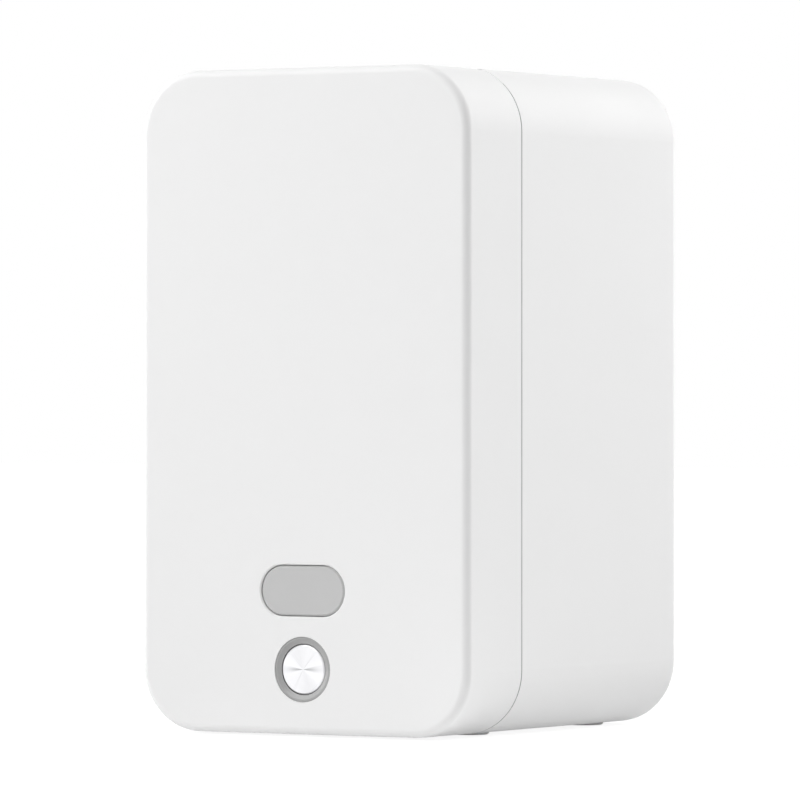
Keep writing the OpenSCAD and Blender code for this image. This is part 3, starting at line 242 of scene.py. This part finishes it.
# ---------------------------------------------------------------------------------------------
# Inner mouldings: cover liner, roll bin with its shelf, and the latch slider
# The same plastic in a plainer finish, straight off a machined mould: a little greyer, with
# faint flow marks. The slider is natural acetal, which looks like candle wax.
# ---------------------------------------------------------------------------------------------

white_abs_plain, _, _ = moulded("white_abs_plain", "#E6E6E5", "#DFDFDE", 0.42, 0.9, 0.01, IOR=1.53)
dress(white_abs_plain, "cover_liner", "inner_frame")
natural_acetal, _, _ = moulded("natural_acetal_slider", "#E9E7DF", "#E2DFD4", 0.35, 0.7, 0.006,
                               IOR=1.48, Subsurface_Weight=0.15, Subsurface_Scale=1.5 * MM)
dress(natural_acetal, "latch_slider")

# ---------------------------------------------------------------------------------------------
# Power button: a metal cap in a light ring
# The cap is aluminium faced off on a lathe. Its circular marks throw faint fans of light from
# the centre, and grey fans are painted into its colour as well, as painted reflections. The ring
# is smoked polycarbonate that the lamp behind it shines through.
# ---------------------------------------------------------------------------------------------

faced_aluminium, tree, shader = surface("faced_aluminium", "#E9E9EB", 0.36, Metallic=1.0,
                                        Anisotropic=0.6)
cap_low, cap_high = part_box("power_button")
cap_centre = (Vector(cap_low) + Vector(cap_high)) / 2
place = add(tree, "ShaderNodeTexCoord")
from_axis = add(tree, "ShaderNodeMapping", Vector=(place, "Object"),
                Location=(-cap_centre.x, 0, -cap_centre.z), Scale=(1, 0, 1))
radius = add(tree, "ShaderNodeVectorMath", {"operation": "LENGTH"}, _0=(from_axis, "Vector"))
# The tool's feed marks, 0.05 mm on the lathe and drawn at 0.25 mm so that they show
feed = add(tree, "ShaderNodeTexNoise", {"noise_dimensions": "1D"},
           W=(radius, "Value"), Scale=1 / (0.25 * MM), Detail=1.0)
grooves = add(tree, "ShaderNodeBump", Height=(feed, "Fac"), Strength=0.25, Distance=0.01 * MM)
tree.links.new(grooves.outputs["Normal"], shader.inputs["Normal"])
# Painted reflection: grey fans, two level ones and a few stray spokes, fading out to the rim
spoke = add(tree, "ShaderNodeVectorMath", {"operation": "NORMALIZE"}, _0=(from_axis, "Vector"))
spokes = add(tree, "ShaderNodeTexNoise", Vector=(spoke, "Vector"), Scale=3.2, Detail=2.0)
stray = add(tree, "ShaderNodeMapRange", Value=(spokes, "Fac"), From_Min=0.55, From_Max=0.75,
            To_Max=0.5)
slope = add(tree, "ShaderNodeSeparateXYZ", _0=(spoke, "Vector"))
slope = add(tree, "ShaderNodeMath", {"operation": "ABSOLUTE"}, _0=(slope, "Z"))
level = add(tree, "ShaderNodeMapRange", {"interpolation_type": "SMOOTHSTEP"},
            Value=(slope, "Value"), From_Min=0.0, From_Max=0.3, To_Min=0.75, To_Max=0.0)
painted_fans = add(tree, "ShaderNodeMath", {"operation": "MAXIMUM"},
           _0=(stray, "Result"), _1=(level, "Result"))
fade = add(tree, "ShaderNodeMapRange", {"interpolation_type": "SMOOTHSTEP"},
           Value=(radius, "Value"), From_Min=0.0, From_Max=4.5 * MM, To_Min=1.0, To_Max=0.2)
painted_fans = add(tree, "ShaderNodeMath", {"operation": "MULTIPLY"},
           _0=(painted_fans, "Value"), _1=(fade, "Result"))
# Painted reflection: the fans mix the cap's colour towards dark grey
tint = add(tree, "ShaderNodeMix", {"data_type": "RGBA"}, _0=(painted_fans, "Value"),
           _6=srgb("#EEEEF0"), _7=srgb("#767678"))
tree.links.new(tint.outputs[2], shader.inputs["Base Color"])
round_axis = add(tree, "ShaderNodeTangent", {"direction_type": "RADIAL", "axis": "Y"})
tree.links.new(round_axis.outputs["Tangent"], shader.inputs["Tangent"])
dress(faced_aluminium, "power_button")

smoked_ring, _, _ = moulded("smoked_polycarbonate", "#A3A3A3", "#9F9F9F", 0.3, 0.5, 0.004,
                            IOR=1.585)
dress(smoked_ring, "light_ring")

# ---------------------------------------------------------------------------------------------
# Release button
# A rounded bar in grey ABS with a satin paint over it. It sits flush in its hole, its edge
# bevelled, and goes 2.5 mm in. Its face is left bare.
# ---------------------------------------------------------------------------------------------

satin_grey, _, _ = moulded("satin_painted_grey_abs", "#C6C6C6", "#C2C2C2", 0.42, 0.3, 0.005,
                           IOR=1.5)
dress(satin_grey, "open_button")

# ---------------------------------------------------------------------------------------------
# Keeper wire, shafts and pins
# The keeper is a bent piece of drawn wire, with faint lines along it. Shafts and pins are
# ground between wheels, which leaves fine rings round them.
# ---------------------------------------------------------------------------------------------


def worked(name, colour, second, roughness, marks, depth, **settings):
    """Worked metal. marks are the lengths of its marks along X, Y and Z, depth theirs, in mm.
    Real ones are under 0.1 mm wide, drawn coarser so that they show. They carry the colour over
    to the second one. Where that is None, the caller sets the colour."""
    material, tree, shader = surface(name, colour, roughness, Metallic=1.0, **settings)
    place = add(tree, "ShaderNodeTexCoord")
    across = add(tree, "ShaderNodeMapping", Vector=(place, "Object"),
                 Scale=[1 / (length * MM) for length in marks])
    lines = add(tree, "ShaderNodeTexNoise", Vector=(across, "Vector"), Scale=1.0, Detail=3.0)
    bump = add(tree, "ShaderNodeBump", Height=(lines, "Fac"), Strength=0.4, Distance=depth * MM)
    tree.links.new(bump.outputs["Normal"], shader.inputs["Normal"])
    gloss = add(tree, "ShaderNodeMapRange", Value=(lines, "Fac"), From_Min=0.3, From_Max=0.7,
                To_Min=roughness - 0.07, To_Max=roughness + 0.07)
    tree.links.new(gloss.outputs["Result"], shader.inputs["Roughness"])
    if second:
        tint = add(tree, "ShaderNodeMix", {"data_type": "RGBA"}, _0=(lines, "Fac"),
                   _6=srgb(colour), _7=srgb(second))
        tree.links.new(tint.outputs[2], shader.inputs["Base Color"])
    return material, tree, shader


long = 1000  # mm, longer than any piece, for marks that run right across
drawn_wire, _, _ = worked("drawn_spring_steel", "#C2C4C8", "#A4A6AA", 0.27,
                          (0.4, 0.15, 0.4), 0.001)
dress(drawn_wire, "keeper_wire")
ground_steel, _, _ = worked("ground_steel", "#CDCFD3", "#B9BBBF", 0.2, (0.2, long, long), 0.002)
dress(ground_steel, "platen_shaft", "hinge_pins", "head_pivot_pin", "gear_studs")

# ---------------------------------------------------------------------------------------------
# Springs of the release button, the latch slider and the print head
# Compression springs wound from round spring wire, their end turns closed and ground flat. Their
# far ends stand on a fixed wall.
# ---------------------------------------------------------------------------------------------


def coil_springs(name, node, axis, radius, wire, turns):
    """Springs in a CAD node's place, one in the middle or one on each side. Lengths in mm."""
    low, high = Vector(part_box(node)[0]), Vector(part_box(node)[1])
    radius, wire = radius * MM, wire * MM
    along = Vector((0, 1, 0)) if axis == "Y" else Vector((0, 0, 1))
    across = Vector((0, 0, 1)) if axis == "Y" else Vector((0, 1, 0))
    length = (high - low).dot(along)
    foot = (low + high) / 2 - along * length / 2
    side = (high - low).x / 2 - radius
    steps, sides, ground = 24, 8, 0.4 * wire
    # How much of the open pitch each step takes: none in the end turns, which give way to open
    # ones between 0.8 and 1.2 turns from each end
    open_share = []
    for step in range(turns * steps):
        from_end = min(step + 0.5, turns * steps - step - 0.5) / steps
        share = min(max((from_end - 0.8) / 0.4, 0), 1)
        open_share.append(share * share * (3 - 2 * share))
    closed_rise = wire / steps
    open_rise = (length - wire + 2 * ground - turns * wire) / sum(open_share)
    corners, faces = [], []
    for x in (-side, side) if side > radius else (0,):
        first, rise = len(corners), wire / 2 - ground
        for step in range(turns * steps + 1):
            turn = 2 * math.pi * step / steps
            for corner in range(sides):
                ring = 2 * math.pi * corner / sides
                out = radius - wire / 2 + wire / 2 * math.cos(ring)
                up = min(max(rise + wire / 2 * math.sin(ring), 0), length)
                corners.append(foot + Vector((x + out * math.cos(turn), 0, 0))
                               + across * out * math.sin(turn) + along * up)
            if step < turns * steps:
                rise += closed_rise + open_rise * open_share[step]
        last = len(corners) - sides
        for start in range(first, last, sides):
            for corner in range(sides):
                after = (corner + 1) % sides
                faces.append((start + corner, start + after,
                              start + sides + after, start + sides + corner))
        faces.append(tuple(range(first + sides - 1, first - 1, -1)))
        faces.append(tuple(range(last, last + sides)))
    mesh = bpy.data.meshes.new(name)
    mesh.from_pydata(corners, [], faces)
    mesh.polygons.foreach_set("use_smooth", [len(face) == 4 for face in faces])
    mesh.materials.append(drawn_wire)
    springs = bpy.data.objects.new(name, mesh)
    bpy.context.scene.collection.objects.link(springs)
    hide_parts(node)
    return springs, high, length


# The release button and the slider both travel 2.5 mm, and shorten their springs by as much
button_spring, far_end, length = coil_springs(
    "button_spring_coil", "open_button_spring", "Y", 2.3, 0.5, 7)
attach(button_spring, "cover")
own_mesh(button_spring)
slide_springs, far_end, length = coil_springs(
    "slide_spring_coils", "latch_springs", "Z", 1.7, 0.45, 5)
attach(slide_springs, "cover")
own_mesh(slide_springs)
# The tilting bracket comes back by 0.53 mm at the upper edge of its springs
head_coils, far_end, length = coil_springs(
    "head_spring_coils", "head_springs", "Y", 2.0, 0.5, 4)
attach(head_coils, "body")
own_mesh(head_coils)

# ---------------------------------------------------------------------------------------------
# Platen roller and feet
# The roller is silicone rubber moulded on its shaft and ground true, so rings of fine nap run
# round it. The feet are soft pale silicone, pressed into their seats.
# ---------------------------------------------------------------------------------------------

ground_silicone, _, _ = moulded("ground_silicone_rubber", "#3A3B3D", "#313234", 0.62, 0.22, 0.02,
                                IOR=1.41, Sheen_Weight=0.15)
dress(ground_silicone, "platen_roller")
pale_silicone, _, _ = moulded("pale_silicone_rubber", "#ECECEC", "#E6E6E6", 0.55, 0.5, 0.01,
                              IOR=1.41, Subsurface_Weight=0.2, Subsurface_Scale=1.0 * MM)
dress(pale_silicone, "rubber_feet")

# ---------------------------------------------------------------------------------------------
# Gears, bushings and the guides' pinion
# Moulded in natural acetal, a slippery plastic: ivory white, a bit waxy, with a soft shine on
# the tips of the teeth. They turn dry on their steel studs.
# ---------------------------------------------------------------------------------------------

acetal_gears, _, _ = moulded("natural_acetal_gears", "#ECEAE2", "#E4E1D6", 0.33, 0.6, 0.005,
                             IOR=1.48, Subsurface_Weight=0.15, Subsurface_Scale=1.5 * MM)
dress(acetal_gears, "platen_gear", "idler_gear", "compound_gear", "guide_pinion",
      "platen_bushings")

# ---------------------------------------------------------------------------------------------
# Print mechanism's frame and the tear bar
# Both are blanked and bent from steel sheet. The frame is zinc coated, and the coat's crystals
# show as a faint cold spangle. The tear bar is stainless, its teeth sheared in one stroke.
# ---------------------------------------------------------------------------------------------

spangle_size = 1.5
zinc_sheet, tree, shader = worked("zinc_plated_sheet", "#CACBCE", None, 0.36,
                                  (spangle_size, spangle_size, spangle_size), 0.004)
place = add(tree, "ShaderNodeTexCoord")
# Spangle: crystals, each a shade of its own
crystals = add(tree, "ShaderNodeTexVoronoi", Vector=(place, "Object"),
               Scale=1 / (spangle_size * MM))
crystal = add(tree, "ShaderNodeSeparateColor", _0=(crystals, "Color"))
spangle = add(tree, "ShaderNodeMix", {"data_type": "RGBA"}, _0=(crystal, "Red"),
              _6=srgb("#CACBCE"), _7=srgb("#C0C2C5"))
tree.links.new(spangle.outputs[2], shader.inputs["Base Color"])
dress(zinc_sheet, "mechanism_frame")
sheared_stainless, _, _ = worked("sheared_stainless_steel", "#CBCCCE", "#BABCBF", 0.3,
                                 (0.3, 2, 6), 0.001)
dress(sheared_stainless, "tear_bar")

# ---------------------------------------------------------------------------------------------
# Print head
# An alumina plate under a clear glaze. A brown line of resistors crosses it at the roller's
# height, printed silver tracks run down from it, and black resin covers the chips below.
# ---------------------------------------------------------------------------------------------

head_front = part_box("print_head")[0][1]
roller_low, roller_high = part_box("platen_roller")
heater_z = (roller_low[2] + roller_high[2]) / 2
glazed_alumina, tree, shader = surface("glazed_alumina", "#EDE8DA", 0.12, IOR=1.62)
place = add(tree, "ShaderNodeTexCoord")
at = add(tree, "ShaderNodeSeparateXYZ", _0=(place, "Object"))
speckle = add(tree, "ShaderNodeTexNoise", Vector=(place, "Object"), Scale=1 / (0.5 * MM),
              Detail=2.0)
body = add(tree, "ShaderNodeMix", {"data_type": "RGBA"}, _0=(speckle, "Fac"),
           _6=srgb("#EFEADC"), _7=srgb("#E2DBC8"))
# Tracks: 8 a millimetre on a 203 dpi head, drawn 1.25 a millimetre so that they show
track = add(tree, "ShaderNodeMath", {"operation": "PINGPONG"}, _0=(at, "X"), _1=0.4 * MM)
track = add(tree, "ShaderNodeMath", {"operation": "GREATER_THAN"},
            _0=(track, "Value"), _1=0.22 * MM)
below = add(tree, "ShaderNodeMath", {"operation": "LESS_THAN"}, _0=(at, "Z"), _1=heater_z)
track = add(tree, "ShaderNodeMath", {"operation": "MULTIPLY"},
            _0=(track, "Value"), _1=(below, "Value"))
tracked = add(tree, "ShaderNodeMix", {"data_type": "RGBA"}, _0=(track, "Value"),
              _6=(body, 2), _7=srgb("#BDBBB4"))
from_line = add(tree, "ShaderNodeMath", {"operation": "SUBTRACT"}, _0=(at, "Z"), _1=heater_z)
from_line = add(tree, "ShaderNodeMath", {"operation": "ABSOLUTE"}, _0=(from_line, "Value"))
line = add(tree, "ShaderNodeMapRange", Value=(from_line, "Value"),
           From_Min=0.25 * MM, From_Max=0.4 * MM, To_Min=1.0, To_Max=0.0)
lined = add(tree, "ShaderNodeMix", {"data_type": "RGBA"}, _0=(line, "Result"),
            _6=(tracked, 2), _7=srgb("#5A3A22"))
# The resin bar stands 0.8 mm proud of the plate's face
resin = add(tree, "ShaderNodeMath", {"operation": "LESS_THAN"},
            _0=(at, "Y"), _1=head_front + 0.7 * MM)
covered = add(tree, "ShaderNodeMix", {"data_type": "RGBA"}, _0=(resin, "Value"),
              _6=(lined, 2), _7=srgb("#1B1B1C"))
tree.links.new(covered.outputs[2], shader.inputs["Base Color"])
gloss = add(tree, "ShaderNodeMapRange", Value=(speckle, "Fac"), To_Min=0.08, To_Max=0.2)
tree.links.new(gloss.outputs["Result"], shader.inputs["Roughness"])
dress(glazed_alumina, "print_head")

# ---------------------------------------------------------------------------------------------
# Print head's heat sink
# The bracket that carries the print head, swings with it on the pin and sheds its heat. It is
# extruded aluminium, left bare, with the die's lines along its length.
# ---------------------------------------------------------------------------------------------

extruded_aluminium, _, _ = worked("extruded_aluminium", "#D4D5D7", "#C2C3C6", 0.38,
                                  (30, 0.3, 0.3), 0.002)
dress(extruded_aluminium, "head_bracket")

# ---------------------------------------------------------------------------------------------
# Stepper motor and its pinion
# The can is nickel-plated steel, deep drawn, so its marks run along the axis. The pinion is
# turned and hobbed from brass, pressed on the shaft.
# ---------------------------------------------------------------------------------------------

nickel_can, _, _ = worked("nickel_plated_can", "#C9C8C4", "#BDBCB8", 0.28, (12, 0.4, 0.4), 0.001)
dress(nickel_can, "motor")
hobbed_brass, _, _ = worked("hobbed_brass", "#DDBE74", "#CFAE62", 0.27, (0.15, 1, 1), 0.001)
dress(hobbed_brass, "motor_pinion")

# ---------------------------------------------------------------------------------------------
# Roll guides with their racks, and the hubs that the roll turns on
# Moulded in a cool grey ABS, so that they stand out from the bin. The hubs are a darker grey
# and turn freely on the guides' pins.
# ---------------------------------------------------------------------------------------------

grey_abs, _, _ = moulded("grey_abs_guides", "#A3A8AD", "#9BA0A5", 0.45, 0.5, 0.01, IOR=1.53)
dress(grey_abs, "guide_left", "guide_right")
dark_abs, _, _ = moulded("dark_grey_abs_hubs", "#55595E", "#4D5156", 0.4, 0.5, 0.01, IOR=1.53)
dress(dark_abs, "hub_left", "hub_right")

# ---------------------------------------------------------------------------------------------
# Battery
# Two lithium cells in one blue PVC sleeve, shrunk on with hot air: glossy, with soft wrinkles
# that gather towards the ends.
# ---------------------------------------------------------------------------------------------

shrink_wrap, tree, shader = moulded("blue_pvc_shrink_sleeve", "#2F6FA8", "#2A66A0", 0.28, IOR=1.54)
place = add(tree, "ShaderNodeTexCoord")
along = add(tree, "ShaderNodeMapping", Vector=(place, "Object"),
            Scale=(1 / (9 * MM), 1 / (2.5 * MM), 1 / (2.5 * MM)))
folds = add(tree, "ShaderNodeTexNoise", Vector=(along, "Vector"), Scale=1.0, Detail=2.0)
wrinkles = add(tree, "ShaderNodeBump", Height=(folds, "Fac"), Strength=0.6, Distance=0.15 * MM)
tree.links.new(wrinkles.outputs["Normal"], shader.inputs["Normal"])
dress(shrink_wrap, "battery")

# ---------------------------------------------------------------------------------------------
# Circuit boards
# Glass-epoxy boards under a green solder mask. The copper tracks below show as paler lines in
# blocks that run one way or the other, with tinned holes between them.
# ---------------------------------------------------------------------------------------------

green_mask, tree, shader = surface("green_solder_mask", "#1D5A3B", 0.28, IOR=1.52)
place = add(tree, "ShaderNodeTexCoord")
at = add(tree, "ShaderNodeSeparateXYZ", _0=(place, "Object"))
blocks = add(tree, "ShaderNodeTexVoronoi", {"distance": "CHEBYCHEV"},
             Vector=(place, "Object"), Scale=1 / (5 * MM))
chance = add(tree, "ShaderNodeSeparateColor", _0=(blocks, "Color"))
which = add(tree, "ShaderNodeMath", {"operation": "GREATER_THAN"}, _0=(chance, "Red"), _1=0.5)
# Tracks 0.28 mm wide and 0.9 mm apart
lines = []
for axis in "XZ":
    step = add(tree, "ShaderNodeMath", {"operation": "PINGPONG"}, _0=(at, axis), _1=0.45 * MM)
    lines.append(add(tree, "ShaderNodeMath", {"operation": "LESS_THAN"},
                     _0=(step, "Value"), _1=0.14 * MM))
tracks = add(tree, "ShaderNodeMix", {"data_type": "FLOAT"}, _0=(which, "Value"),
             _2=(lines[0], "Value"), _3=(lines[1], "Value"))
masked = add(tree, "ShaderNodeMix", {"data_type": "RGBA"}, _0=(tracks, 0),
             _6=srgb("#1D5A3B"), _7=srgb("#2F7A50"))
# Tinned holes 3.5 mm apart and 0.9 mm across, which go straight through the board
flat = add(tree, "ShaderNodeMapping", Vector=(place, "Object"), Scale=(1, 0, 1))
holes = add(tree, "ShaderNodeTexVoronoi", Vector=(flat, "Vector"), Scale=1 / (3.5 * MM),
            Randomness=0.4)
pad = add(tree, "ShaderNodeMath", {"operation": "LESS_THAN"}, _0=(holes, "Distance"), _1=0.13)
tinned = add(tree, "ShaderNodeMix", {"data_type": "RGBA"}, _0=(pad, "Value"),
             _6=(masked, 2), _7=srgb("#C4C2B6"))
tree.links.new(tinned.outputs[2], shader.inputs["Base Color"])
proud = add(tree, "ShaderNodeBump", Height=(tracks, 0), Strength=0.3, Distance=0.03 * MM)
tree.links.new(proud.outputs["Normal"], shader.inputs["Normal"])
dress(green_mask, "button_board", "main_board")

# ---------------------------------------------------------------------------------------------
# Roll reader's board
# It stands beside the roll and reads the roll's tag. It is made as the other boards are, with a
# square spiral of copper under the mask that serves as its aerial.
# ---------------------------------------------------------------------------------------------

reader_low, reader_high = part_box("tag_board")
reader_centre = (Vector(reader_low) + Vector(reader_high)) / 2
aerial_board, tree, shader = surface("green_mask_over_aerial", "#1D5A3B", 0.28, IOR=1.52)
place = add(tree, "ShaderNodeTexCoord")
centred = add(tree, "ShaderNodeVectorMath", {"operation": "SUBTRACT"},
              _0=(place, "Object"), _1=reader_centre)
apart = add(tree, "ShaderNodeVectorMath", {"operation": "ABSOLUTE"}, _0=(centred, "Vector"))
at = add(tree, "ShaderNodeSeparateXYZ", _0=(apart, "Vector"))
# Turns 0.4 mm wide and 1 mm apart, round a bare middle 9 mm across
out = add(tree, "ShaderNodeMath", {"operation": "MAXIMUM"}, _0=(at, "Y"), _1=(at, "Z"))
turns = add(tree, "ShaderNodeMath", {"operation": "PINGPONG"}, _0=(out, "Value"), _1=0.5 * MM)
turns = add(tree, "ShaderNodeMath", {"operation": "LESS_THAN"}, _0=(turns, "Value"), _1=0.2 * MM)
outer = add(tree, "ShaderNodeMath", {"operation": "GREATER_THAN"}, _0=(out, "Value"), _1=4.5 * MM)
turns = add(tree, "ShaderNodeMath", {"operation": "MULTIPLY"},
            _0=(turns, "Value"), _1=(outer, "Value"))
masked = add(tree, "ShaderNodeMix", {"data_type": "RGBA"}, _0=(turns, "Value"),
             _6=srgb("#1D5A3B"), _7=srgb("#4A8A55"))
tree.links.new(masked.outputs[2], shader.inputs["Base Color"])
proud = add(tree, "ShaderNodeBump", Height=(turns, "Value"), Strength=0.4, Distance=0.03 * MM)
tree.links.new(proud.outputs["Normal"], shader.inputs["Normal"])
dress(aerial_board, "tag_board")

# ---------------------------------------------------------------------------------------------
# Parts on the boards, the power switch and the gap sensor
# Chips, coil, capacitors and switch are moulded in black glass-filled nylon and epoxy, whose
# fibres leave a fine, slightly shiny grain.
# ---------------------------------------------------------------------------------------------

black_nylon, _, _ = moulded("black_glass_filled_nylon", "#232426", "#1D1E20", 0.45, 0.3, 0.01,
                            IOR=1.53)
dress(black_nylon, "power_switch", "switch_plunger", "gap_sensor", "board_parts")

# ---------------------------------------------------------------------------------------------
# Charging port
# It stands on the back of the main board and looks out through the rear shell: stainless strip,
# rolled into a bright shell round a black tongue that carries the contacts.
# ---------------------------------------------------------------------------------------------

drawn_stainless, tree, shader = worked("drawn_stainless_shell", "#C9CACC", "#B8BABD", 0.24,
                                       (2, 8, 2), 0.001)
port_low, port_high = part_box("charging_port")
place = add(tree, "ShaderNodeTexCoord")
at = add(tree, "ShaderNodeSeparateXYZ", _0=(place, "Object"))
# The tongue is 6.6 mm wide and 0.7 mm thick, in the middle of the shell
across = add(tree, "ShaderNodeMath", {"operation": "ABSOLUTE"}, _0=(at, "X"))
across = add(tree, "ShaderNodeMath", {"operation": "LESS_THAN"},
             _0=(across, "Value"), _1=3.35 * MM)
upright = add(tree, "ShaderNodeMath", {"operation": "SUBTRACT"},
              _0=(at, "Z"), _1=(port_low[2] + port_high[2]) / 2)
upright = add(tree, "ShaderNodeMath", {"operation": "ABSOLUTE"}, _0=(upright, "Value"))
upright = add(tree, "ShaderNodeMath", {"operation": "LESS_THAN"},
              _0=(upright, "Value"), _1=0.4 * MM)
tongue = add(tree, "ShaderNodeMath", {"operation": "MULTIPLY"},
             _0=(across, "Value"), _1=(upright, "Value"))
shell = shader.inputs["Base Color"].links[0].from_socket
both = add(tree, "ShaderNodeMix", {"data_type": "RGBA"}, _0=(tongue, "Value"), _7=srgb("#1C1C1D"))
tree.links.new(shell, both.inputs[6])
tree.links.new(both.outputs[2], shader.inputs["Base Color"])
metal = add(tree, "ShaderNodeMath", {"operation": "SUBTRACT"}, _0=1.0, _1=(tongue, "Value"))
tree.links.new(metal.outputs["Value"], shader.inputs["Metallic"])
dress(drawn_stainless, "charging_port")

# ---------------------------------------------------------------------------------------------
# Screws
# Small pan-head screws in black-oxidised steel. The oxide is thin, so a little steel shows
# through in spots.
# ---------------------------------------------------------------------------------------------

black_oxide, _, _ = worked("black_oxidised_steel", "#3E3F42", "#55565A", 0.36,
                           (0.6, 0.6, 0.6), 0.003)
dress(black_oxide, "cover_screws", "rear_screws", "frame_screws", "board_screws")
